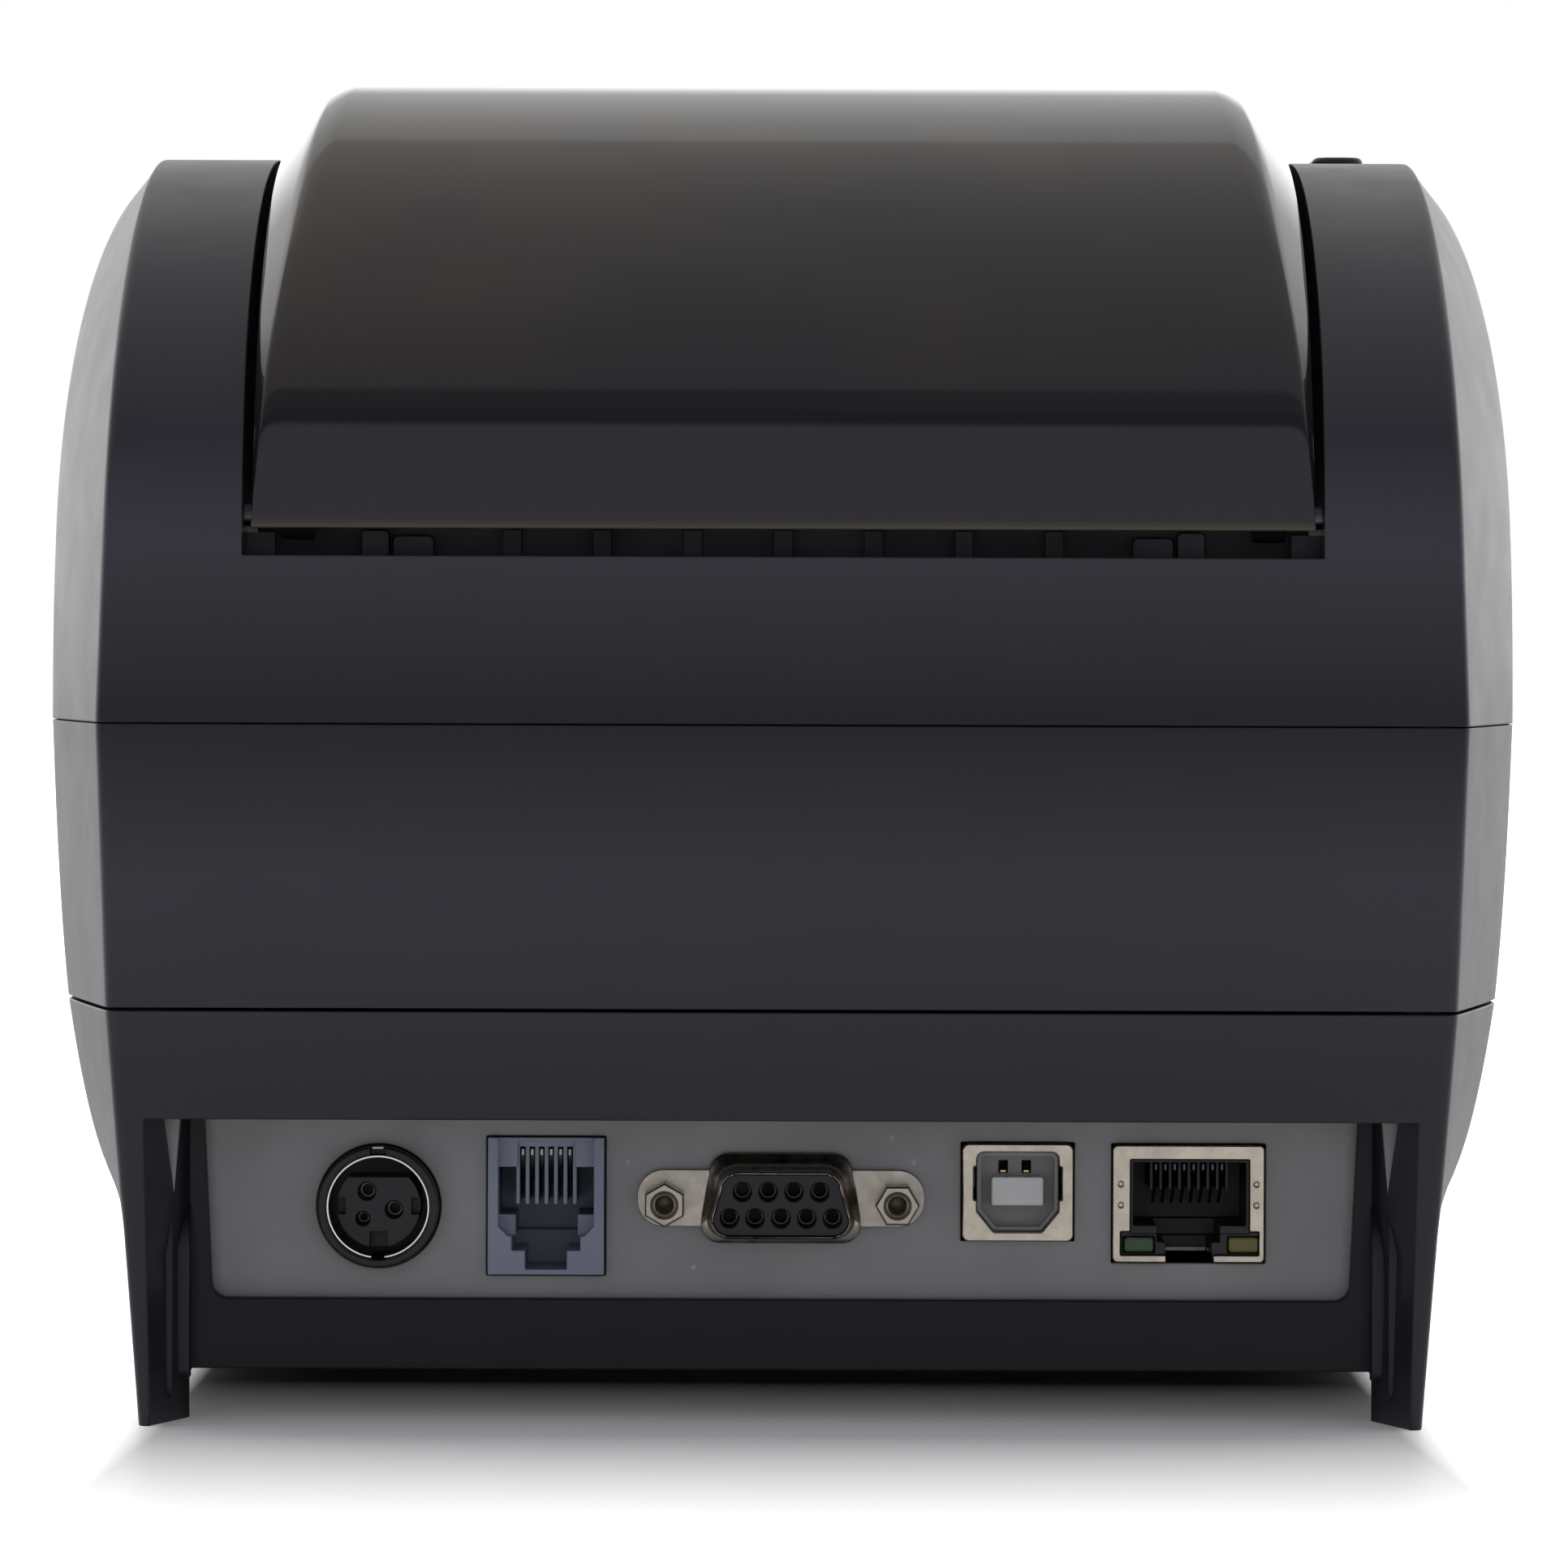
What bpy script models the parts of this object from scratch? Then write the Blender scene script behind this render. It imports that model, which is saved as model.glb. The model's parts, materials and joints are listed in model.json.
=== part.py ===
"""Desktop thermal receipt printer: case, hinged lid, print drive, roll guides, keys and rear sockets.

The frame's origin is on the floor under the middle of the case. The rear faces +Y, the paper exit faces -Y,
+Z is up. Dimensions are millimetres and become metres when a mesh is made.
"""

import math

import bmesh
import bpy
from mathutils import Matrix, Vector

MM = 0.001
GAP = 0.3  # running gap between neighbouring pieces

# Case envelope
REAR_Y = 107.5
FRONT_Y = -107.5
WAIST_Z = 75.0
WAIST_HALF = 80.1
SHOULDER_Z = 138.2
SHOULDER_HALF = 70.0
SHOULDER_POWER = 2.3  # of the superellipse from the waist up to the shoulder
CHEEK_BOTTOM_Z = 22.0
CHEEK_POWER = 2.6  # of the superellipse from the waist down to the cheek's bottom
CHEEK_FLATNESS = 1.1  # in plan, where one is a flat facet and two a parabola
DOME_Z = 97.0
DOME_REAR_Y = 22.0
FRONT_DOME_Z = 85.0
DOME_FRONT_Y = -30.0
EDGE_HALF_FLOOR = 68.3
EDGE_HALF_SEAM = 71.8
EDGE_HALF_WAIST = 72.9
EDGE_HALF_TOP = 70.5
REAR_CHEEK_REACH = 35.0
FRONT_CHEEK_REACH = 30.0
CORNER = 1.2
WALL = 2.4
LOWER_SEAM_Z = 44.4
UPPER_SEAM_Z = 74.8
SEAM = 0.4

# Base, rear recess and legs
UNDERSIDE_Z = 5.3
FLOOR_TOP_Z = 8.8
SKIRT_LIFT = 1.5
LEG_FRONT_Y = 84.0
SKIRT_EDGE_Z = 32.7
CEILING = 2.3
RECESS_WALL_Y = 95.5
RECESS_HALF_TOP = 67.6
RECESS_HALF_FLOOR = 66.4
RECESS_HALF_BACK = 63.5
PLATE_WINDOW = (61.2, 12.9)
PLATE_Y = 93.0
SOCKET_Z = 23.0
POSTS = ((60.5, 28.0), (60.5, -66.0))
BOARD_Z = 30.5
BOARD_PINS = ((55.0, 46.0), (-55.0, 46.0))

# Lid
LID_BAY_HALF = 57.5
BAY_WALL = 2.4
SLOT_BOTTOM_Z = 92.7
SLOT_WALL_HALF = 56.5
SLOT_RIB_PITCH = 9.7
LID_LIP_Z = 95.6
LID_TOP_Z = 147.0
LID_BASE_HALF = 56.6
LID_CREASE_IN = 7.1  # how far the crease beside the window runs inwards by the lid's top
LID_CREASE_POWER = 1.15  # one would run it in evenly with height
LID_REACH = 85.3
LID_FLANK_REACH = 84.0
LID_FLANK_TOP_Z = 137.6
LID_FRONT_Y = -22.0
LID_FRONT_Z = 90.0
LID_FRONT_REACH = 82.0
LID_FRONT_FLANK_REACH = 79.5
LID_FRONT_LIP_DEG = 8.0
LID_SKIN = 2.2
HINGE = (101.5, 97.0)
HINGE_PIN_R = 1.2

# Print drive, as (y, z) on axes along X
PLATEN = (-91.0, 86.0)
PLATEN_R = 7.0
PLATEN_HALF = 41.5
MOTOR = (-80.0, 62.5)
LATCH = (-74.0, 80.0)
CHASSIS_X = 47.0
CHASSIS_T = 2.0
GEAR_X = (51.0, 55.0)
GEAR_MODULE = 1.0
PLATEN_TEETH = 20
IDLER_TEETH = 16
PINION_TEETH = 10
DECK_Z = (45.0, 47.0)

# Paper tub, and the guides that close on the roll from both sides
TUB_HALF = 56.9
TUB_Y = (-60.0, 94.0)
TUB_TOP_Z = 92.0
TUB_WALL = 2.0
TUB_BEND = 32.0
ROLL = (16.0, 80.0)
GUIDE_R = 30.0
GUIDE_PINION = (0.0, 15.0)
GUIDE_TEETH = 12
RACK_Z = (43.3, 46.5)
GUIDE_X = 41.0

# Keys on the shoulders
RELEASE_KEY = (-65.3, -18.0)
RELEASE_KEY_STANDS = 2.4  # above the shoulder
FEED_KEY = (65.0, -18.0)
KEY_HALF = (3.0, 7.0)
LENS_Y = (-4.0, 4.0)
LENS_R = 1.4

# Power switch, in the +X side of the mid band
SWITCH_Y = (-66.0, -47.0)
SWITCH_Z = (53.0, 67.0)

# Rear sockets: places along X, and width and height of each front
INLET_X = 43.35
INLET_HOLES = ((1.3, 2.0), (1.3, -1.6), (-1.8, -0.4))
MODULAR_X = 25.3
MODULAR = (12.5, 14.7)
JACKSCREW_X = 12.5
USB_X = -25.5
USB = (11.9, 10.6)
NET_X = -43.9
NET = (16.3, 12.9)

FINISHES = {
    "case": ((0.03, 0.03, 0.037), 0.42, 0.0),
    "smoke": ((0.035, 0.032, 0.03), 0.08, 0.0),
    "black plastic": ((0.02, 0.02, 0.022), 0.5, 0.0),
    "grey plate": ((0.2, 0.21, 0.2), 0.45, 0.3),
    "nickel": ((0.62, 0.6, 0.55), 0.25, 1.0),
    "steel": ((0.5, 0.5, 0.5), 0.35, 1.0),
    "blue grey": ((0.16, 0.19, 0.25), 0.5, 0.0),
    "pale grey": ((0.5, 0.5, 0.5), 0.5, 0.0),
    "white plastic": ((0.7, 0.7, 0.68), 0.45, 0.0),
    "rubber": ((0.02, 0.02, 0.02), 0.85, 0.0),
    "board": ((0.01, 0.12, 0.04), 0.5, 0.0),
    "brass": ((0.6, 0.45, 0.2), 0.3, 1.0),
    "aluminium": ((0.6, 0.6, 0.62), 0.35, 1.0),
    "green lens": ((0.05, 0.3, 0.1), 0.2, 0.0),
    "yellow lens": ((0.5, 0.35, 0.05), 0.2, 0.0),
}


# Meshes, in millimetres


def mesh_of(points, faces):
    """A mesh from points and faces, its faces turned to point outwards."""
    mesh = bpy.data.meshes.new("solid")
    mesh.from_pydata([Vector(point) * MM for point in points], [], faces)
    shape = bmesh.new()
    shape.from_mesh(mesh)
    bmesh.ops.recalc_face_normals(shape, faces=shape.faces)
    shape.to_mesh(mesh)
    shape.free()
    return mesh


def loft(rings, wrap=False):
    """A solid through rings of equal point counts. A wrapped loft joins its last ring to its first."""
    count = len(rings[0])
    points = [point for ring in rings for point in ring]
    faces = []
    for i in range(len(rings) if wrap else len(rings) - 1):
        low = i * count
        high = (i + 1) % len(rings) * count
        for j in range(count):
            k = (j + 1) % count
            faces.append((low + j, low + k, high + k, high + j))
    if not wrap:
        faces.append(tuple(range(count)))
        faces.append(tuple(range(len(points) - count, len(points))))
    return mesh_of(points, faces)


def along(axis, pair, position):
    """The point with this position along an axis and this pair of the other two coordinates."""
    a, b = pair
    return {"X": (position, a, b), "Y": (a, position, b), "Z": (a, b, position)}[axis]


def prism(axis, outline, start, end):
    return loft([[along(axis, pair, position) for pair in outline] for position in (start, end)])


def box(low, high):
    corners = [(low[0], low[1]), (high[0], low[1]), (high[0], high[1]), (low[0], high[1])]
    return prism("Z", corners, low[2], high[2])


def circle(centre, radius, count=24, turn=0.0):
    angles = [turn + math.tau * i / count for i in range(count)]
    return [(centre[0] + radius * math.cos(a), centre[1] + radius * math.sin(a)) for a in angles]


def rod(axis, centre, radius, start, end, count=24):
    return prism(axis, circle(centre, radius, count), start, end)


def arc(centre, radius, start_deg, end_deg, steps):
    angles = [math.radians(start_deg + (end_deg - start_deg) * i / steps) for i in range(steps + 1)]
    return [(centre[0] + radius * math.cos(a), centre[1] + radius * math.sin(a)) for a in angles]


def round_box(centre, half, radius, steps=3):
    """The outline of a rectangle with rounded corners."""
    outline = []
    for i, (side, up) in enumerate(((1, 1), (-1, 1), (-1, -1), (1, -1))):
        middle = (centre[0] + side * (half[0] - radius), centre[1] + up * (half[1] - radius))
        outline += arc(middle, radius, 90 * i, 90 * i + 90, steps)
    return outline


# Objects


def finish_of(name, finish):
    colour, roughness, metallic = FINISHES[finish]
    material = bpy.data.materials.new(name)
    material.use_nodes = True
    shader = material.node_tree.nodes["Principled BSDF"]
    shader.inputs["Base Color"].default_value = (*colour, 1.0)
    shader.inputs["Roughness"].default_value = roughness
    shader.inputs["Metallic"].default_value = metallic
    return material


def add_tools(obj, joins=(), cuts=()):
    """Joins meshes to an object and then cuts meshes from it."""
    for operation, tool in [("UNION", mesh) for mesh in joins] + [("DIFFERENCE", mesh) for mesh in cuts]:
        helper = bpy.data.objects.new(f"{obj.name}_tool_{len(obj.modifiers)}", tool)
        bpy.context.scene.collection.objects.link(helper)
        helper.hide_render = True
        helper.display_type = "WIRE"
        change = obj.modifiers.new(helper.name, "BOOLEAN")
        change.operation = operation
        change.object = helper


def part(name, mesh, finish, joins=(), cuts=(), pivot=(0.0, 0.0, 0.0)):
    """One sub-part, its origin at pivot, with tool meshes joined to it and cut from it."""
    obj = bpy.data.objects.new(name, mesh)
    bpy.context.scene.collection.objects.link(obj)
    obj.location = Vector(pivot) * MM
    mesh.transform(Matrix.Translation(-obj.location))
    mesh.materials.append(finish_of(name, finish))
    mesh.shade_smooth()
    mesh.set_sharp_from_angle(angle=math.radians(35))
    add_tools(obj, joins, cuts)
    return obj


# The case's shape


def smooth_shoulder(share, power):
    """A superellipse's height at this share of its reach."""
    return max(0.0, 1.0 - min(1.0, share) ** power) ** (1.0 / power)


def edge_half(z):
    """Half the width of the rear face."""
    if z < LOWER_SEAM_Z:
        return EDGE_HALF_FLOOR + (EDGE_HALF_SEAM - EDGE_HALF_FLOOR) * max(0.0, z) / LOWER_SEAM_Z
    if z < WAIST_Z:
        rise = (z - LOWER_SEAM_Z) / (WAIST_Z - LOWER_SEAM_Z)
        return EDGE_HALF_SEAM + (EDGE_HALF_WAIST - EDGE_HALF_SEAM) * rise
    rise = (z - WAIST_Z) / (SHOULDER_Z - WAIST_Z)
    return EDGE_HALF_WAIST + (EDGE_HALF_TOP - EDGE_HALF_WAIST) * rise


def side_half(z, inset):
    """Half the width over the cheeks."""
    if z >= WAIST_Z:
        bulge = smooth_shoulder((z - WAIST_Z) / (SHOULDER_Z - inset - WAIST_Z), SHOULDER_POWER)
        return SHOULDER_HALF + (WAIST_HALF - SHOULDER_HALF) * bulge - inset
    bulge = smooth_shoulder((WAIST_Z - z) / (WAIST_Z - CHEEK_BOTTOM_Z), CHEEK_POWER)
    return edge_half(z) + (WAIST_HALF - EDGE_HALF_WAIST) * bulge - inset


def dome(z, start_z, top_z, far_y, near_y):
    """Y on an elliptical dome that stands upright at start_z and is flat at top_z."""
    rise = min(1.0, max(0.0, (z - start_z) / (top_z - start_z)))
    return near_y + (far_y - near_y) * math.sqrt(1.0 - rise * rise)


def half_ring(z, inset, rear_limit=REAR_Y):
    """The +X half of the case's plan outline at height z, from the rear round to the front."""
    rear = min(dome(z, DOME_Z, SHOULDER_Z - inset, REAR_Y - inset, DOME_REAR_Y), rear_limit)
    front = dome(z, FRONT_DOME_Z, SHOULDER_Z - inset, FRONT_Y + inset, DOME_FRONT_Y)
    side = side_half(z, inset)
    edge = min(edge_half(z) - inset, side)
    points = []
    for end, toward, reach in ((rear, -1, REAR_CHEEK_REACH), (front, 1, FRONT_CHEEK_REACH)):
        depth = min(reach, 0.45 * (rear - front))
        half = [(edge - CORNER, end), (edge - 0.3 * CORNER, end + toward * 0.3 * CORNER)]
        for share in (CORNER / depth, 0.4, 0.7, 0.9, 1.0):
            spread = 1.0 - (1.0 - share) ** CHEEK_FLATNESS
            half.append((edge + (side - edge) * spread, end + toward * depth * share))
        points += half if toward < 0 else half[::-1]
    return points


def ring(z, inset=0.0, rear_limit=REAR_Y):
    half = half_ring(z, inset, rear_limit)
    outline = half + [(-x, y) for x, y in reversed(half)]
    return [(x, y, z) for x, y in outline]


def dome_levels(top_z, steps=9):
    return [DOME_Z + (top_z - DOME_Z) * math.sin(math.pi / 2 * i / steps) for i in range(1, steps + 1)]


def levels(low, high, steps):
    return [low + (high - low) * i / steps for i in range(steps + 1)]


def case_wall(low, high, steps):
    """A ring of case wall between two heights."""
    outside = [ring(z) for z in levels(low, high, steps)]
    inside = [ring(z, WALL) for z in reversed(levels(low, high, steps))]
    return loft(outside + inside, wrap=True)


# Case


def make_base_tray():
    top = LOWER_SEAM_Z - SEAM / 2
    body = loft([ring(z) for z in (0.0, 12.0, 20.0, 24.0, 28.0, 33.0, 38.0, top)])
    ceiling_top = SKIRT_EDGE_Z + CEILING
    inner_wall = RECESS_WALL_Y - WALL
    lower_hollow = loft([ring(z, WALL, inner_wall) for z in (FLOOR_TOP_Z, 22.0, 28.0, ceiling_top)])
    upper_hollow = loft([ring(z, WALL) for z in (ceiling_top - 0.01, 40.0, top + 1.0)])
    underside = loft([ring(z, WALL, RECESS_WALL_Y) for z in (-1.0, UNDERSIDE_Z)])
    recess = loft(
        [
            [
                (half, REAR_Y + 1.0, z),
                (-half, REAR_Y + 1.0, z),
                (-RECESS_HALF_BACK, RECESS_WALL_Y, z),
                (RECESS_HALF_BACK, RECESS_WALL_Y, z),
            ]
            for half, z in ((RECESS_HALF_FLOOR, -1.0), (RECESS_HALF_TOP, SKIRT_EDGE_Z))
        ]
    )
    lift = box((-90.0, FRONT_Y - 1.0, -1.0), (90.0, LEG_FRONT_Y, SKIRT_LIFT))
    half, low = PLATE_WINDOW
    window = box((-half, inner_wall - 1.0, low), (half, RECESS_WALL_Y + 1.0, SKIRT_EDGE_Z))
    shell = part(
        "base_tray", body, "case", cuts=[lower_hollow, upper_hollow, underside, recess, lift, window]
    )
    joins = []
    cuts = []
    for x, y in [(side * x, y) for x, y in POSTS for side in (-1, 1)]:
        joins.append(rod("Z", (x, y), 4.6, UNDERSIDE_Z + 0.5, DECK_Z[0] - 1.0, 16))
        cuts.append(rod("Z", (x, y), 3.1, -1.0, 36.0, 16))
        cuts.append(rod("Z", (x, y), 1.7, 30.0, 50.0, 12))
    for centre in BOARD_PINS:
        joins.append(rod("Z", centre, 3.0, UNDERSIDE_Z + 0.5, BOARD_Z - GAP, 12))
        joins.append(rod("Z", centre, 1.1, BOARD_Z - 1.0, BOARD_Z + 3.0, 12))
    add_tools(shell, joins, cuts)
    for number, (x, y) in enumerate([(side * x, y) for x, y in POSTS for side in (-1, 1)], 1):
        head = rod("Z", (x, y), 2.7, 33.0, 36.0 - GAP, 16)
        part(f"case_screw_{number}", head, "steel", joins=[rod("Z", (x, y), 1.3, 35.0, 47.0, 12)])


def make_mid_band():
    """The middle of the case, with the deck that carries the tub and the drive."""
    low = LOWER_SEAM_Z + SEAM / 2
    high = UPPER_SEAM_Z - SEAM / 2
    wall = case_wall(low, high, 4)
    deck = loft([ring(z, WALL - 0.8) for z in DECK_Z])
    rack_bay = box((-50.0, -6.0, DECK_Z[0] - 1.0), (50.0, 36.0, DECK_Z[1] + 1.0))
    cable_bay = box((-40.0, -44.0, DECK_Z[0] - 1.0), (40.0, -22.0, DECK_Z[1] + 1.0))
    band = part("mid_band", wall, "case", joins=[deck], cuts=[rack_bay, cable_bay])
    screws = [(side * x, y) for x, y in POSTS for side in (-1, 1)]
    screw_holes = [rod("Z", centre, 1.6, DECK_Z[0] - 1.0, DECK_Z[1] + 1.0, 12) for centre in screws]
    pocket = box((77.9, SWITCH_Y[0], SWITCH_Z[0]), (90.0, SWITCH_Y[1], SWITCH_Z[1]))
    hole = box((70.0, SWITCH_Y[0] + 1.5, SWITCH_Z[0] + 1.5), (90.0, SWITCH_Y[1] - 1.5, SWITCH_Z[1] - 1.5))
    add_tools(band, cuts=[pocket, hole] + screw_holes)


def make_top_shell():
    low = UPPER_SEAM_Z + SEAM / 2
    body = loft([ring(z) for z in [low, 80.0, FRONT_DOME_Z, 91.0, DOME_Z] + dome_levels(SHOULDER_Z)])
    bay_side = LID_BAY_HALF + BAY_WALL
    hollow_levels = [low - 1.0, FRONT_DOME_Z, 91.0, DOME_Z] + dome_levels(SHOULDER_Z - WALL)
    hollows = []
    for side in (1, -1):
        rings = []
        for z in hollow_levels:
            half = half_ring(z, WALL)
            outline = [(bay_side, half[0][1])] + half + [(bay_side, half[-1][1])]
            rings.append([(side * x, y, z) for x, y in outline])
        hollows.append(loft(rings))
    bay = [
        (FRONT_Y + WALL, low - 1.0),
        (REAR_Y - WALL, low - 1.0),
        (REAR_Y - WALL, SLOT_BOTTOM_Z - 4.0),
        (REAR_Y - 1.4, SLOT_BOTTOM_Z),
        (REAR_Y + 5.0, SLOT_BOTTOM_Z),
        (REAR_Y + 5.0, SHOULDER_Z + 9.0),
        (FRONT_Y - 5.0, SHOULDER_Z + 9.0),
        (FRONT_Y - 5.0, 89.0),
        (FRONT_Y + WALL, 89.0),
    ]
    shell = part("top_shell", body, "case", cuts=hollows + [prism("X", bay, -LID_BAY_HALF, LID_BAY_HALF)])
    outer = LID_BAY_HALF + BAY_WALL + 1.0
    cuts = [rod("X", HINGE, HINGE_PIN_R + GAP, -outer, outer, 16)]
    cuts.append(rod("X", LATCH, 2.4, -outer, 0.0, 16))
    for x, y in (RELEASE_KEY, FEED_KEY):
        half = (KEY_HALF[0] + GAP, KEY_HALF[1] + GAP)
        cuts.append(prism("Z", round_box((x, y), half, 2.6), 125.0, 150.0))
    for y in LENS_Y:
        cuts.append(rod("Z", (FEED_KEY[0], y), LENS_R + GAP, 130.0, 150.0, 16))
    x, y = RELEASE_KEY
    shelf = box((x - 3.6, y - 4.0, 116.0), (-LID_BAY_HALF - 1.0, y + 4.0, 117.6))
    add_tools(shell, joins=[shelf], cuts=cuts + [rod("Z", (x, y), 2.0, 110.0, 120.0, 12)])


def make_feet():
    for number, side in enumerate((-1, 1), 1):
        part(f"rubber_foot_{number}", rod("Z", (side * 54.0, -78.0), 7.0, 0.0, UNDERSIDE_Z - GAP), "rubber")


# Rear plate, main board and sockets. Places along X are from the case's middle.


def make_rear_plate():
    front = PLATE_Y - 1.0
    half = PLATE_WINDOW[0] + 2.0
    sheet = box((-half, front, PLATE_WINDOW[1] - 2.0), (half, PLATE_Y, 36.0))
    low, high = front - 1.0, PLATE_Y + 1.0
    clear = 0.35
    cuts = [
        rod("Y", (INLET_X, SOCKET_Z), 6.55 + clear, low, high),
        prism("Y", d_outline(8.7, 4.9), low, high),
    ]
    for x, size, bottom in ((MODULAR_X, MODULAR, 15.4), (USB_X, USB, 19.1), (NET_X, NET, 16.8)):
        reach = size[0] / 2 + clear
        cuts.append(box((x - reach, low, bottom - clear), (x + reach, high, bottom + size[1] + clear)))
    for side in (-1, 1):
        cuts.append(rod("Y", (side * JACKSCREW_X, SOCKET_Z), 1.8, low, high, 12))
    part("rear_io_plate", sheet, "grey plate", cuts=cuts)


def make_main_board():
    board = box((-60.0, 38.0, BOARD_Z), (60.0, 91.5, BOARD_Z + 1.6))
    holes = [rod("Z", centre, 1.5, BOARD_Z - 1.0, BOARD_Z + 3.0, 12) for centre in BOARD_PINS]
    part("main_board", board, "board", cuts=holes)


def d_outline(half_width, half_height, radius=2.2, lean=0.9):
    """The outline of a D-shaped shell: wide below, narrower above, corners rounded."""
    points = []
    corners = ((1, 1, 0.0), (-1, 1, 90.0), (-1, -1, 180.0), (1, -1, 270.0))
    for side, up, start in corners:
        reach = half_width - radius - (0.0 if up < 0 else lean)
        middle = (side * reach, SOCKET_Z + up * (half_height - radius))
        points += arc(middle, radius, start, start + 90.0, 3)
    return points


def make_power_inlet():
    centre = (INLET_X, SOCKET_Z)
    shell = rod("Y", centre, 6.55, 78.0, 95.6, 32)
    cavity = rod("Y", centre, 5.6, 84.0, 97.0, 32)
    part("inlet_body", shell, "black plastic", cuts=[cavity])
    tube = rod("Y", centre, 5.3, 84.0 + GAP, 95.3, 32)
    part("inlet_ring", tube, "nickel", cuts=[rod("Y", centre, 4.75, 80.0, 97.0, 32)])
    core = rod("Y", centre, 4.4, 84.0 + GAP, 93.6, 28)
    pins = [rod("Y", (INLET_X + x, SOCKET_Z + z), 0.9, 88.0, 95.0, 10) for x, z in INLET_HOLES]
    part("inlet_core", core, "black plastic", cuts=pins)


def make_modular_socket():
    half = MODULAR[0] / 2
    body = box((MODULAR_X - half, 77.0, 15.4), (MODULAR_X + half, 94.4, 15.4 + MODULAR[1]))
    steps = ((5.0, 19.2, 25.4), (3.4, 25.3, 29.0), (3.1, 16.6, 19.3))
    cavity = [box((MODULAR_X - w, 80.0, low), (MODULAR_X + w, 96.0, high)) for w, low, high in steps]
    part("modular_socket", body, "blue grey", cuts=cavity)


def make_serial_socket():
    flange = prism("Y", round_box((0.0, SOCKET_Z), (15.4, 3.05), 3.0), PLATE_Y + GAP, PLATE_Y + 1.1)
    shell = prism("Y", d_outline(8.3, 4.6), 86.0, PLATE_Y + 6.0)
    bore = prism("Y", d_outline(7.5, 3.8, 1.8), 80.0, PLATE_Y + 7.0)
    screws = [rod("Y", (side * JACKSCREW_X, SOCKET_Z), 1.7, 90.0, 96.0, 12) for side in (-1, 1)]
    part("serial_shell", flange, "nickel", joins=[shell], cuts=[bore] + screws)
    core = prism("Y", d_outline(7.1, 3.4, 1.6), 82.0, PLATE_Y + 5.2)
    holes = [
        rod("Y", ((i - (count - 1) / 2) * 2.77, SOCKET_Z + rise), 0.75, 92.0, 100.0, 8)
        for count, rise in ((4, 1.42), (5, -1.42))
        for i in range(count)
    ]
    part("serial_core", core, "black plastic", cuts=holes)
    for number, side in enumerate((-1, 1), 1):
        centre = (side * JACKSCREW_X, SOCKET_Z)
        nut = prism("Y", circle(centre, 2.7, 6), PLATE_Y + 1.4, PLATE_Y + 6.0)
        shank = rod("Y", centre, 1.3, 87.0, PLATE_Y + 2.0, 12)
        bore = rod("Y", centre, 1.25, PLATE_Y + 2.2, PLATE_Y + 7.0, 12)
        part(f"jackscrew_{number}", nut, "nickel", joins=[shank], cuts=[bore])


def make_usb_socket():
    half = USB[0] / 2
    shell = box((USB_X - half, 79.0, 19.1), (USB_X + half, 94.2, 19.1 + USB[1]))
    cavity = [
        (USB_X - 4.25, 28.3),
        (USB_X - 4.25, 22.4),
        (USB_X - 2.6, 20.6),
        (USB_X + 2.6, 20.6),
        (USB_X + 4.25, 22.4),
        (USB_X + 4.25, 28.3),
    ]
    part("usb_shell", shell, "nickel", cuts=[prism("Y", cavity, 81.0, 96.0)])
    tongue = box((USB_X - 2.85, 81.0 + GAP, 22.9), (USB_X + 2.85, 92.8, 26.2))
    root = box((USB_X - 3.9, 81.0 + GAP, 22.6), (USB_X + 3.9, 84.0, 28.0))
    part("usb_tongue", tongue, "pale grey", joins=[root])


def make_network_socket():
    half = NET[0] / 2
    low, high = 16.8, 16.8 + NET[1]
    shell = box((NET_X - half, 75.0, low), (NET_X + half, 94.4, high))
    inside = box((NET_X - half + 0.8, 76.0, low + 0.8), (NET_X + half - 0.8, 96.0, high - 0.8))
    part("network_shell", shell, "nickel", cuts=[inside])
    edge = half - 0.8 - GAP
    body = box((NET_X - edge, 76.0 + GAP, low + 1.1), (NET_X + edge, 93.9, high - 1.1))
    mouth = box((NET_X - 6.1, 79.0, 20.3), (NET_X + 6.1, 96.0, 27.9))
    latch = box((NET_X - 3.2, 79.0, 18.9), (NET_X + 3.2, 96.0, 20.4))
    lens_places = [NET_X + side * 5.3 for side in (-1, 1)]
    pockets = [box((x - 1.9, 90.0, 17.0), (x + 1.9, 96.0, 20.0)) for x in lens_places]
    part("network_core", body, "black plastic", cuts=[mouth, latch] + pockets)
    for name, x in zip(("yellow", "green"), lens_places):
        lens = box((x - 1.6, 90.0 + GAP, 18.1), (x + 1.6, 94.1, 19.7))
        part(f"network_lens_{name}", lens, f"{name} lens")


# Lid


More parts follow.
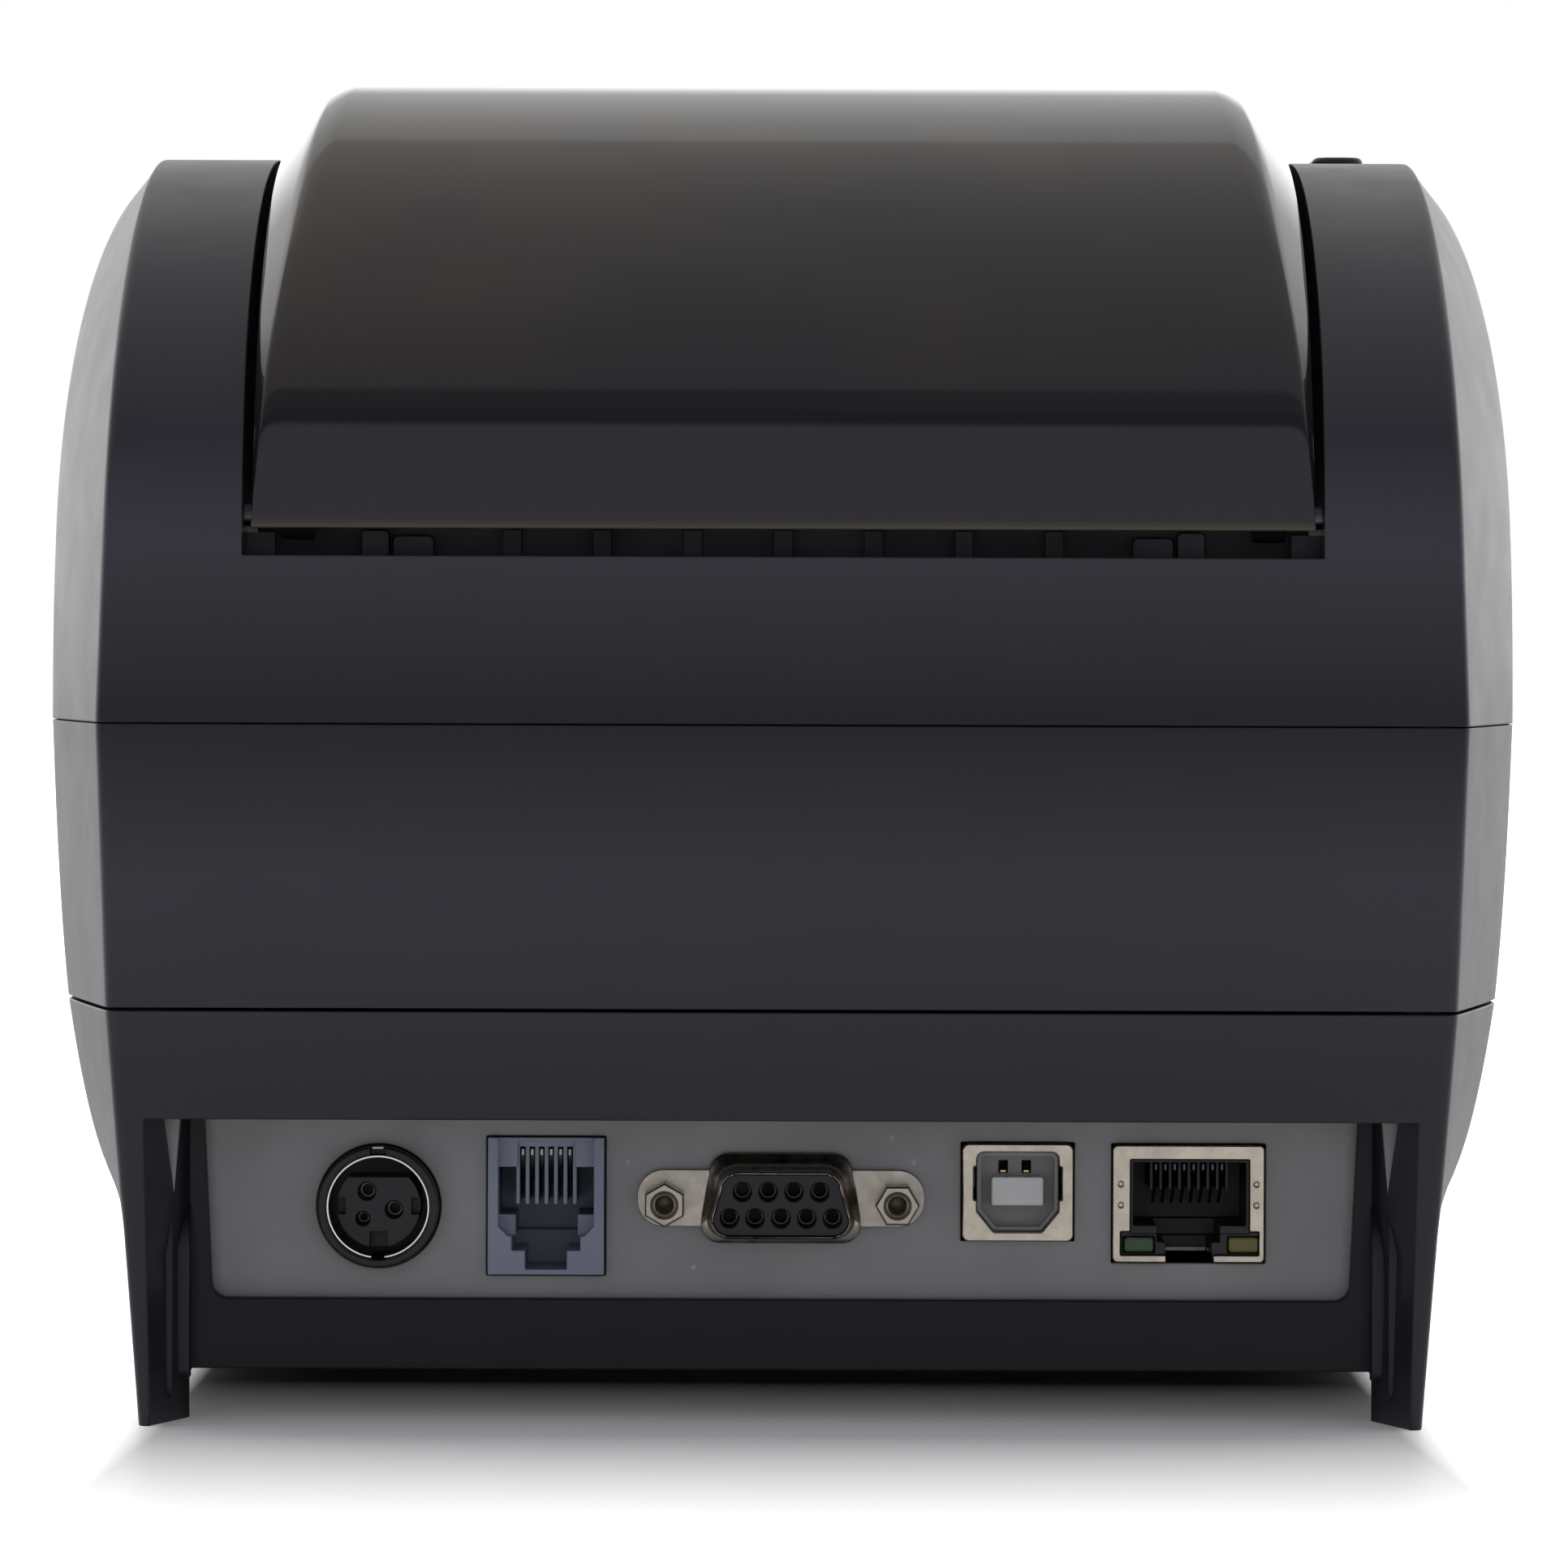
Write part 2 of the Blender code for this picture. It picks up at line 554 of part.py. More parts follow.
def lid_stations(inset, rear_steps=12, front_steps=12):
    """Crease points (y, z), flank-edge points and crease half-widths, from the rear lip over to the front."""
    stations = []
    for i in range(rear_steps + 1):
        turn = math.pi / 2 * i / rear_steps
        reach, rise = LID_REACH - inset, LID_TOP_Z - LID_LIP_Z - inset
        flank, flank_rise = LID_FLANK_REACH - inset, LID_FLANK_TOP_Z - LID_LIP_Z
        outer = (DOME_REAR_Y + reach * math.cos(turn), LID_LIP_Z + rise * math.sin(turn))
        edge = (DOME_REAR_Y + flank * math.cos(turn), LID_LIP_Z + flank_rise * math.sin(turn))
        stations.append((outer, edge, lid_crease(turn)))
    for i in range(front_steps + 1):
        turn = math.radians(90.0 - (90.0 - LID_FRONT_LIP_DEG) * i / front_steps)
        reach, rise = LID_FRONT_REACH - inset, LID_TOP_Z - LID_FRONT_Z - inset
        flank, flank_rise = LID_FRONT_FLANK_REACH - inset, LID_FLANK_TOP_Z - LID_FRONT_Z
        outer = (LID_FRONT_Y - reach * math.cos(turn), LID_FRONT_Z + rise * math.sin(turn))
        edge = (LID_FRONT_Y - flank * math.cos(turn), LID_FRONT_Z + flank_rise * math.sin(turn))
        stations.append((outer, edge, lid_crease(turn)))
    return stations


def lid_crease(turn):
    """Half the lid's width at its creases."""
    return LID_BASE_HALF - LID_CREASE_IN * math.sin(turn) ** LID_CREASE_POWER


def lid_channel(inset, thickness):
    """An arched channel, its open side down: a lid skin at this inset from the lid's outside."""
    rings = []
    for outside, inside in zip(lid_stations(inset), lid_stations(inset + thickness)):
        sides = []
        for (crease, edge, crease_half), depth in ((outside, inset), (inside, inset + thickness)):
            base, top = LID_BASE_HALF - depth, crease_half - depth
            bend = [c + 0.12 * (e - c) for c, e in zip(crease, edge)]
            sides.append([(base, *edge), (top + 0.25 * (base - top), *bend), (top - 1.0, *crease)])
        upper, lower = sides
        other_upper, other_lower = [[(-x, y, z) for x, y, z in half] for half in sides]
        rings.append(upper + other_upper[::-1] + other_lower + lower[::-1])
    return loft(rings)


def make_lid():
    part("lid_window", lid_channel(0.0, LID_SKIN), "smoke", pivot=(0.0, *HINGE))
    window = box((-44.0, -58.0, 60.0), (44.0, 86.0, 160.0))
    ears = [rod("X", HINGE, 2.6, side * 50.0, side * 53.6, 20) for side in (-1, 1)]
    bore = rod("X", HINGE, HINGE_PIN_R + GAP, -60.0, 60.0, 16)
    frame_mesh = lid_channel(LID_SKIN + 0.4, 3.0)
    part("lid_frame", frame_mesh, "black plastic", joins=ears, cuts=[window, bore], pivot=(0.0, *HINGE))
    for number, side in enumerate((-1, 1), 1):
        pin = rod("X", HINGE, HINGE_PIN_R, side * 50.5, side * 60.4, 16)
        part(f"hinge_pin_{number}", pin, "steel", pivot=(0.0, *HINGE))
    bracket = box((-42.0, -93.0, 102.0), (42.0, -72.5, 104.0))
    arms = []
    for side in (-1, 1):
        arms.append(box((39.5 * side - 1.5, -76.0, 95.2), (39.5 * side + 1.5, -72.5, 103.0)))
        arms.append(rod("X", (LATCH[0], 97.0), 1.8, side * 39.0, side * 45.8, 16))
        arms.append(box((43.0 * side - 1.5, -88.0, 102.0), (43.0 * side + 1.5, -78.0, 110.0)))
    part("head_bracket", bracket, "steel", joins=arms, pivot=(0.0, *HINGE))
    sink = box((-42.0, -94.8, 95.4), (42.0, -80.0, 101.7))
    fins = [box((-42.5, -93.0 + 3.0 * i, 98.0), (42.5, -91.5 + 3.0 * i, 102.0)) for i in range(4)]
    part("head_heat_sink", sink, "aluminium", cuts=fins, pivot=(0.0, *HINGE))
    part("print_head", box((-42.0, -97.0, 93.5), (42.0, -80.0, 95.1)), "pale grey", pivot=(0.0, *HINGE))
    for number, x in enumerate((-24.0, 24.0), 1):
        part_spring(f"head_spring_{number}", (x, -86.0), 2.6, 104.3, 112.4, 4, HINGE)


def part_spring(name, centre, radius, low, high, turns, pivot=None):
    """A coil spring standing on Z: a wire swept along a helix."""
    wire = 0.35
    steps = 10
    count = turns * steps
    curve = bpy.data.curves.new(name, "CURVE")
    curve.dimensions = "3D"
    curve.bevel_depth = wire * MM
    curve.bevel_resolution = 0
    curve.use_fill_caps = True
    spline = curve.splines.new("POLY")
    spline.points.add(count)
    for i, point in enumerate(spline.points):
        angle = math.tau * i / steps
        height = low + wire + (high - low - 2 * wire) * i / count
        place = Vector((centre[0] + radius * math.cos(angle), centre[1] + radius * math.sin(angle), height))
        point.co = (*(place * MM), 1.0)
    obj = bpy.data.objects.new(name, curve)
    bpy.context.scene.collection.objects.link(obj)
    curve.materials.append(finish_of(name, "steel"))
    if pivot:
        obj.location = Vector((0.0, *pivot)) * MM
        curve.transform(Matrix.Translation(-obj.location))


# Print drive


def gear_outline(centre, teeth, phase):
    """A spur gear's outline with straight-sided teeth. phase is the direction of one tooth's middle."""
    pitch_r = teeth * GEAR_MODULE / 2
    step = math.tau / teeth
    outline = []
    for i in range(teeth):
        middle = phase + i * step
        for offset, radius in ((-0.27, -1.15), (-0.13, 0.8), (0.13, 0.8), (0.27, -1.15)):
            angle = middle + offset * step
            reach = pitch_r + radius * GEAR_MODULE
            outline.append((centre[0] + reach * math.cos(angle), centre[1] + reach * math.sin(angle)))
    return outline


def mesh_phase(driver, driver_teeth, driver_phase, follower, follower_teeth):
    """The direction of a follower gear's tooth that puts it in mesh with its driver."""
    toward = math.atan2(follower[1] - driver[1], follower[0] - driver[0])
    offset = driver_teeth * (driver_phase - toward) / 2 + math.pi / 2
    return toward + math.pi - offset / (follower_teeth / 2)


def idler_centre():
    """Where the idler meshes with both the platen's gear and the motor's pinion."""
    near = (PLATEN_TEETH + IDLER_TEETH) * GEAR_MODULE / 2 + 0.25
    far = (IDLER_TEETH + PINION_TEETH) * GEAR_MODULE / 2 + 0.25
    span = Vector(MOTOR) - Vector(PLATEN)
    share = (span.length**2 + near**2 - far**2) / (2 * span.length)
    aside = math.sqrt(near**2 - share**2)
    unit = span.normalized()
    place = Vector(PLATEN) + unit * share + Vector((-unit.y, unit.x)) * aside
    return (place.x, place.y)


def make_drive():
    idler = idler_centre()
    low, high = DECK_Z[1] + GAP, 93.4
    plates = []
    for side in (-1, 1):
        xs = sorted((side * CHASSIS_X, side * (CHASSIS_X + CHASSIS_T)))
        plates.append(box((xs[0], -101.0, low), (xs[1], -62.0, high)))
    outer = CHASSIS_X + CHASSIS_T
    base = box((-outer, -101.0, low), (outer, -62.0, low + 2.0))
    tie = box((-outer, -64.0, low), (outer, -62.0, 74.0))
    cuts = [
        rod("X", PLATEN, 4.3, -60.0, 60.0),
        rod("X", LATCH, 2.4, -60.0, 60.0, 16),
        rod("X", MOTOR, 3.0, 40.0, 60.0, 16),
        rod("X", idler, 1.5 + GAP, 40.0, 60.0, 16),
    ]
    part("drive_chassis", base, "steel", joins=plates + [tie], cuts=cuts)
    pivot = (0.0, *PLATEN)
    part("platen_shaft", rod("X", PLATEN, 3.0, -51.0, 56.0, 20), "steel", pivot=pivot)
    roller = rod("X", PLATEN, PLATEN_R, -PLATEN_HALF, PLATEN_HALF, 32)
    bore = rod("X", PLATEN, 3.0 + GAP, -60.0, 60.0, 20)
    part("platen_roller", roller, "rubber", cuts=[bore], pivot=pivot)
    gear = prism("X", gear_outline(PLATEN, PLATEN_TEETH, 0.0), *GEAR_X)
    part("platen_gear", gear, "white plastic", cuts=[bore.copy()], pivot=pivot)
    for number, side in enumerate((-1, 1), 1):
        ends = sorted((side * 46.0, side * 50.0))
        bush = rod("X", PLATEN, 4.0, *ends)
        part(f"platen_bush_{number}", bush, "white plastic", cuts=[rod("X", PLATEN, 3.3, -60.0, 60.0)])
    phase = mesh_phase(PLATEN, PLATEN_TEETH, 0.0, idler, IDLER_TEETH)
    gear = prism("X", gear_outline(idler, IDLER_TEETH, phase), *GEAR_X)
    bore = rod("X", idler, 1.5 + GAP, 40.0, 60.0, 16)
    part("idler_gear", gear, "white plastic", cuts=[bore], pivot=(0.0, *idler))
    part("idler_pin", rod("X", idler, 1.5, 44.0, 56.0, 16), "steel")
    phase = mesh_phase(idler, IDLER_TEETH, phase, MOTOR, PINION_TEETH)
    pinion = prism("X", gear_outline(MOTOR, PINION_TEETH, phase), *GEAR_X)
    shaft = rod("X", MOTOR, 1.2, 46.9, 53.0, 12)
    part("motor_pinion", pinion, "brass", joins=[shaft], pivot=(0.0, *MOTOR))
    body = rod("X", MOTOR, 11.5, 24.0, CHASSIS_X - GAP, 32)
    part("stepper_motor", body, "steel", cuts=[rod("X", MOTOR, 1.6, 40.0, 50.0, 12)])
    chute = box((-41.0, -82.0, 86.8), (41.0, -61.0, 88.6))
    part("paper_chute", chute, "black plastic", joins=[box((-41.0, -63.0, 77.0), (41.0, -61.0, 88.0))])
    part("paper_sensor", box((-8.0, -71.0, 82.6), (8.0, -63.3, 86.5)), "black plastic")
    teeth = [(-44.0, 84.0)]
    for i in range(44):
        teeth += [(-44.0 + 2.0 * i, 93.0), (-43.0 + 2.0 * i, 93.8)]
    teeth += [(44.0, 93.0), (44.0, 84.0)]
    part("tear_bar", prism("Y", teeth, -104.6, -103.8), "steel")


def make_latch():
    """A shaft with two catches in the drive and an arm under the release key."""
    shaft = rod("X", LATCH, 2.0, -66.5, 46.0, 16)
    joins = [box((-67.0, LATCH[0] - 3.0, 77.5), (-63.0, RELEASE_KEY[1] + 2.0, 81.5))]
    for side in (-1, 1):
        xs = sorted((side * 42.0, side * 45.5))
        joins.append(box((xs[0], -75.5, 78.4), (xs[1], -68.5, 81.6)))
        joins.append(box((xs[0], -71.4, 80.0), (xs[1], -68.5, 98.6)))
    part("latch_bar", shaft, "steel", joins=joins, pivot=(0.0, *LATCH))


# Paper tub and roll guides


def make_tub():
    low = DECK_Z[1] + GAP
    body = box((-TUB_HALF, TUB_Y[0], low), (TUB_HALF, TUB_Y[1], TUB_TOP_Z))
    floor = low + TUB_WALL
    front, rear = TUB_Y[0] + TUB_WALL, TUB_Y[1] - TUB_WALL
    hollow = [(rear, TUB_TOP_Z + 8.0), (front, TUB_TOP_Z + 8.0)]
    hollow += arc((front + TUB_BEND, floor + TUB_BEND), TUB_BEND, 180.0, 270.0, 7)
    hollow += arc((rear - TUB_BEND, floor + TUB_BEND), TUB_BEND, 270.0, 360.0, 7)
    cuts = [prism("X", hollow, TUB_WALL - TUB_HALF, TUB_HALF - TUB_WALL)]
    for side in (-1, 1):
        xs = sorted((side * 12.0, side * 46.5))
        y = GUIDE_PINION[1] + side * 7.5
        cuts.append(box((xs[0], y - 2.6, low - 1.0), (xs[1], y + 2.6, floor + 1.0)))
    joins = [box((-SLOT_WALL_HALF, rear, 86.0), (SLOT_WALL_HALF, TUB_Y[1], LID_LIP_Z + 1.2))]
    for i in range(-3, 4):
        x = SLOT_RIB_PITCH * i
        joins.append(box((x - 1.0, TUB_Y[1] - 1.0, 88.0), (x + 1.0, TUB_Y[1] + 2.2, LID_LIP_Z)))
    post = rod("Z", GUIDE_PINION, 1.6, RACK_Z[0], low + 0.5, 12)
    tub = part("paper_tub", body, "black plastic", cuts=cuts)
    add_tools(tub, joins=joins + [post])


def make_roll_guides():
    """Two roll guides on racks that one pinion turns, so that they close on the roll together."""
    radius = GUIDE_TEETH * GEAR_MODULE / 2
    pitch = math.pi * GEAR_MODULE
    for name, side in (("roll_guide_left", 1), ("roll_guide_right", -1)):
        y = GUIDE_PINION[1]
        foot = y + side * 7.5
        tooth_y = y + side * (radius + 0.25)
        back = y + side * 12.0
        teeth = []
        for i in range(-3, 14):
            middle = (i + 0.5) * pitch
            for offset, depth in ((-0.27, 1.15), (-0.13, -0.8), (0.13, -0.8), (0.27, 1.15)):
                teeth.append((side * (middle + offset * pitch), tooth_y + side * depth))
        outline = [(side * -10.0, back)] + [(side * -10.0, tooth_y + side * 1.15)] + teeth
        outline += [(side * 45.0, tooth_y + side * 1.15), (side * 45.0, back)]
        rack = prism("Z", outline, *RACK_Z)
        xs = sorted((side * GUIDE_X, side * (GUIDE_X + 3.0)))
        stem = box((xs[0], foot + side * 0.5 - 1.6, RACK_Z[0]), (xs[1], foot + side * 0.5 + 1.6, 56.0))
        cheek = [(ROLL[0] - GUIDE_R, DECK_Z[1] + 2.8), (ROLL[0] + GUIDE_R, DECK_Z[1] + 2.8)]
        cheek += arc(ROLL, GUIDE_R, 0.0, 180.0, 12)
        hub = rod("X", ROLL, 9.0, side * (GUIDE_X + 1.0), side * (GUIDE_X - 6.0))
        part(name, rack, "black plastic", joins=[stem, prism("X", cheek, *xs), hub])
    pinion = prism("Z", gear_outline(GUIDE_PINION, GUIDE_TEETH, 0.0), RACK_Z[0], RACK_Z[1] - 0.3)
    bore = rod("Z", GUIDE_PINION, 1.6 + GAP, 40.0, 50.0, 12)
    part("guide_pinion", pinion, "white plastic", cuts=[bore], pivot=(*GUIDE_PINION, 0.0))


# Keys, lenses and power switch


def make_keys():
    x, y = RELEASE_KEY
    cap = prism("Z", round_box(RELEASE_KEY, KEY_HALF, 2.3), 132.4, SHOULDER_Z + RELEASE_KEY_STANDS)
    stem = rod("Z", (x, y), 1.6, 82.0, 133.0, 12)
    part("release_key", cap, "black plastic", joins=[stem], pivot=(x, y, SHOULDER_Z))
    part_spring("release_spring", (x, y), 2.5, 117.9, 132.1, 5)
    x, y = FEED_KEY
    cap = prism("Z", round_box(FEED_KEY, KEY_HALF, 2.3), 133.0, SHOULDER_Z - 0.1)
    stem = rod("Z", (x, y), 1.6, 130.2, 134.0, 12)
    part("feed_key", cap, "black plastic", joins=[stem], pivot=(x, y, SHOULDER_Z))
    board = box((61.0, -29.0, 126.0), (69.0, 12.0, 127.4))
    part("key_board", board, "board", joins=[box((x - 2.5, y - 2.5, 127.0), (x + 2.5, y + 2.5, 128.4))])
    for number, y in enumerate(LENS_Y, 1):
        part(f"status_lens_{number}", rod("Z", (x, y), LENS_R, 130.0, SHOULDER_Z - 0.1, 16), "green lens")


def make_power_switch():
    y, z = sum(SWITCH_Y) / 2, sum(SWITCH_Z) / 2
    half_y, half_z = (SWITCH_Y[1] - SWITCH_Y[0]) / 2, (SWITCH_Z[1] - SWITCH_Z[0]) / 2
    rim = box((78.2, y - half_y + GAP, z - half_z + GAP), (79.1, y + half_y - GAP, z + half_z - GAP))
    body = box((64.0, y - half_y + 1.9, z - half_z + 1.9), (78.6, y + half_y - 1.9, z + half_z - 1.9))
    well = box((66.0, y - half_y + 3.0, z - half_z + 3.0), (81.0, y + half_y - 3.0, z + half_z - 3.0))
    part("switch_body", rim, "black plastic", joins=[body], cuts=[well])
    pivot = (73.5, y)
    reach = half_y - 3.6
    face = [(5.3, -reach), (4.4, 0.0), (5.3, reach), (-1.0, reach * 0.7), (-3.0, 0.0), (-1.0, -reach * 0.7)]
    tilt = math.radians(7.0)
    turn = Matrix.Rotation(tilt, 2)
    outline = [tuple(Vector(pivot) + turn @ Vector(point)) for point in face]
    rocker = prism("Z", outline, z - half_z + 3.3, z + half_z - 3.3)
    part("power_rocker", rocker, "black plastic", pivot=(*pivot, z))


def main():
    for obj in list(bpy.data.objects):
        bpy.data.objects.remove(obj)
    make_base_tray()
    make_mid_band()
    make_top_shell()
    make_feet()
    make_rear_plate()
    make_main_board()
    make_power_inlet()
    make_modular_socket()
    make_serial_socket()
    make_usb_socket()
    make_network_socket()
    make_lid()
    make_drive()
    make_latch()
    make_tub()
    make_roll_guides()
    make_keys()
    make_power_switch()


main()
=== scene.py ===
"""The looks of a desktop receipt printer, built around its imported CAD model.

Sizes are millimetres in the CAD's own frame, and become metres when a mesh is made. The case, the lid, the
keys and the rear sockets are modelled anew in fine detail, and the mechanism's pieces get softened edges.
"""

import json
import math

import bmesh
import bpy
from mathutils import Euler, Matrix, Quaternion, Vector

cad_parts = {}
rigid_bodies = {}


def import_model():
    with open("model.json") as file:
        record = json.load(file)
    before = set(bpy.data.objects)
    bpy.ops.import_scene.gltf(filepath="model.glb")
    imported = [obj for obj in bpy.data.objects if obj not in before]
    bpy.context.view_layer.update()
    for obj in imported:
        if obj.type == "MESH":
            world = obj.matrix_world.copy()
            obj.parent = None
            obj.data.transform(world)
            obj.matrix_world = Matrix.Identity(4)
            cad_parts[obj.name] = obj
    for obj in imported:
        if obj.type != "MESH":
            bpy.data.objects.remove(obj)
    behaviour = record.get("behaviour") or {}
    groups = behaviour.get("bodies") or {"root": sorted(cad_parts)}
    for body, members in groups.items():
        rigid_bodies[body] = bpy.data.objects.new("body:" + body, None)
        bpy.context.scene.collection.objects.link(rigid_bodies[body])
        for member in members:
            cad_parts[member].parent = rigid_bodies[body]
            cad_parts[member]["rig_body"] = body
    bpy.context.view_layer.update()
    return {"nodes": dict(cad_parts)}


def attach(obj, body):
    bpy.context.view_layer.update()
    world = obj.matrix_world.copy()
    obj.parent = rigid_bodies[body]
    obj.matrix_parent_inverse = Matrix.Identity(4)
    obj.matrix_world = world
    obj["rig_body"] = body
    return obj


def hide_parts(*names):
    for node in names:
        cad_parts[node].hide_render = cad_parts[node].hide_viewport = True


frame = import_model()

MM = 0.001

# Case, as in the CAD
REAR_Y = 107.5
FRONT_Y = -107.5
WAIST_Z = 75.0
WAIST_HALF = 80.1
SHOULDER_Z = 138.2
SHOULDER_HALF = 70.0
SHOULDER_POWER = 2.3
CHEEK_POWER = 2.6
CHEEK_FLATNESS = 1.1
CHEEK_BOTTOM_Z = 22.0
DOME_Z = 97.0
DOME_REAR_Y = 22.0
FRONT_DOME_Z = 85.0
DOME_FRONT_Y = -30.0
EDGE_HALF_FLOOR = 68.3
EDGE_HALF_SEAM = 71.8
EDGE_HALF_WAIST = 72.9
EDGE_HALF_TOP = 70.5
REAR_CHEEK_REACH = 35.0
FRONT_CHEEK_REACH = 30.0
CORNER = 1.2
WALL = 2.4
LOWER_SEAM_Z = 44.4
UPPER_SEAM_Z = 74.8
LOWER_SEAM = 0.34
UPPER_SEAM = 0.12

# Base, rear recess and legs
UNDERSIDE_Z = 5.3
FLOOR_TOP_Z = 8.8
SKIRT_LIFT = 1.5
LEG_FRONT_Y = 84.0
SKIRT_EDGE_Z = 32.7
CEILING = 2.3
RECESS_WALL_Y = 95.5
RECESS_HALF_TOP = 68.2
RECESS_HALF_FLOOR = 67.3
RECESS_HALF_BACK = 63.5
PLATE_Y = 93.0
PLATE_FRONT_HALF = 61.2
PLATE_WINDOW_Z = 12.9
FLANGE_NOTCH = ((64.3, 33.5), (66.2, 33.5), (65.0, 24.6))
POSTS = ((60.5, 28.0), (60.5, -66.0))
DECK_Z = (45.0, 47.0)

# Lid
BAY_HALF = 57.5
BAY_WALL = 2.4
SLOT_BOTTOM_Z = 92.7
LID_LIP_Z = 95.6
LID_TOP_Z = 147.0
LID_BASE_HALF = 56.6
LID_CREASE_IN = 7.1
LID_CREASE_POWER = 1.15
LID_REACH = 85.3
LID_FLANK_REACH = 84.0
LID_FLANK_SWELL = 1.5
LID_FLANK_TOP_Z = 139.0
LID_FRONT_Y = -22.0
LID_FRONT_Z = 90.0
LID_FRONT_REACH = 82.0
LID_FRONT_FLANK_REACH = 79.5
LID_FRONT_LIP_DEG = 8.0
LID_SKIN = 2.2
HINGE = (101.5, 97.0)
HINGE_PIN_R = 1.2

# Keys and switch
RELEASE_KEY = (-65.3, -18.0)
FEED_KEY = (65.0, -18.0)
KEY_HALF = (3.0, 7.0)
KEY_CORNER = 2.3
KEY_GAP = 0.25
LENS_Y = (-4.0, 4.0)
LENS_R = 1.4
LATCH = (-74.0, 80.0)
SWITCH_Y = (-66.0, -47.0)
SWITCH_Z = (53.0, 67.0)

# Rear sockets, by their places along X
SOCKET_Z = 23.2
FLANGE_Z = 23.7
INLET_Z = 22.7
INLET_X = 43.35
MODULAR_X = 25.3
MODULAR_Z = 15.4
JACKSCREW_X = 12.5
USB_X = -25.5
USB_Z = 19.1
NET_X = -43.9
NET_Z = 16.8


# Meshes, in millimetres


def mesh_of(points, faces):
    """A mesh from points and faces, its faces turned to point outwards."""
    mesh = bpy.data.meshes.new("piece")
    mesh.from_pydata([Vector(point) * MM for point in points], [], faces)
    shape = bmesh.new()
    shape.from_mesh(mesh)
    bmesh.ops.recalc_face_normals(shape, faces=shape.faces)
    shape.to_mesh(mesh)
    shape.free()
    return mesh


def loft(rings, wrap=False):
    """A solid through rings of equal point counts. A wrapped loft joins its last ring to its first."""
    count = len(rings[0])
    points = [point for ring in rings for point in ring]
    faces = []
    for i in range(len(rings) if wrap else len(rings) - 1):
        low = i * count
        high = (i + 1) % len(rings) * count
        for j in range(count):
            k = (j + 1) % count
            faces.append((low + j, low + k, high + k, high + j))
    if not wrap:
        faces.append(tuple(range(count)))
        faces.append(tuple(range(len(points) - count, len(points))))
    return mesh_of(points, faces)


def along(axis, pair, position):
    """The point with this position along an axis and this pair of the other two coordinates."""
    a, b = pair
    return {"X": (position, a, b), "Y": (a, position, b), "Z": (a, b, position)}[axis]


def prism(axis, outline, start, end):
    return loft([[along(axis, pair, position) for pair in outline] for position in (start, end)])


def box(low, high):
    corners = [(low[0], low[1]), (high[0], low[1]), (high[0], high[1]), (low[0], high[1])]
    return prism("Z", corners, low[2], high[2])


def circle(centre, radius, count=32, turn=0.0):
    angles = [turn + math.tau * i / count for i in range(count)]
    return [(centre[0] + radius * math.cos(a), centre[1] + radius * math.sin(a)) for a in angles]


def turned(axis, centre, profile, count=48, wrap=False):
    """A turned solid from (radius, position) pairs: a closed ring if wrapped, else capped at both ends."""
    return loft([[along(axis, p, place) for p in circle(centre, r, count)] for r, place in profile], wrap)


def rod(axis, centre, radius, start, end, count=24):
    return turned(axis, centre, [(radius, start), (radius, end)], count)


def arc(centre, radius, start_deg, end_deg, steps):
    angles = [math.radians(start_deg + (end_deg - start_deg) * i / steps) for i in range(steps + 1)]
    return [(centre[0] + radius * math.cos(a), centre[1] + radius * math.sin(a)) for a in angles]


def curve_through(start, bend, end, steps):
    """Points on the quadratic curve from start to end that leans towards bend."""
    points = []
    for i in range(steps + 1):
        t = i / steps
        weights = ((1 - t) ** 2, 2 * t * (1 - t), t * t)
        points.append(tuple(sum(w * c for w, c in zip(weights, trio)) for trio in zip(start, bend, end)))
    return points


def round_box(centre, half, radius, steps=6):
    """The outline of a rectangle with rounded corners."""
    outline = []
    for i, (side, up) in enumerate(((1, 1), (-1, 1), (-1, -1), (1, -1))):
        middle = (centre[0] + side * (half[0] - radius), centre[1] + up * (half[1] - radius))
        outline += arc(middle, radius, 90 * i, 90 * i + 90, steps)
    return outline


def sweep(path, radius, count=10):
    """A round wire along a path of points."""
    path = [Vector(point) for point in path]
    rings = []
    side = (path[1] - path[0]).orthogonal()
    for i, point in enumerate(path):
        ahead = (path[min(i + 1, len(path) - 1)] - path[max(i - 1, 0)]).normalized()
        side = (side - ahead * side.dot(ahead)).normalized()
        up = ahead.cross(side)
        rings.append([point + side * a + up * b for a, b in circle((0.0, 0.0), radius, count)])
    return loft(rings)


def merged(meshes):
    """Several separate solids as one mesh."""
    shape = bmesh.new()
    for mesh in meshes:
        shape.from_mesh(mesh)
    whole = bpy.data.meshes.new("whole")
    shape.to_mesh(whole)
    shape.free()
    return whole


def mirrored(outline):
    """An outline closed by its own mirror image across x = 0."""
    return outline + [(-x, y) for x, y in reversed(outline)]


# Pieces


def settle(obj):
    """Turns an object's modifiers into its own final mesh."""
    bpy.context.view_layer.update()
    graph = bpy.context.evaluated_depsgraph_get()
    final = bpy.data.meshes.new_from_object(obj.evaluated_get(graph), depsgraph=graph)
    obj.modifiers.clear()
    obj.data = final


def soften(obj, width, segments=2, angle=38.0):
    """Rounds an object's edges and evens out its shading."""
    obj.data.shade_smooth()
    obj.data.set_sharp_from_angle(angle=math.radians(angle))
    if width:
        bevel = obj.modifiers.new("bevel", "BEVEL")
        bevel.width = width * MM
        bevel.segments = segments
        bevel.limit_method = "ANGLE"
        bevel.angle_limit = math.radians(angle)
        bevel.use_clamp_overlap = False
        bevel.miter_outer = "MITER_ARC"
    shading = obj.modifiers.new("normals", "WEIGHTED_NORMAL")
    shading.keep_sharp = True
    shading.weight = 100
    settle(obj)


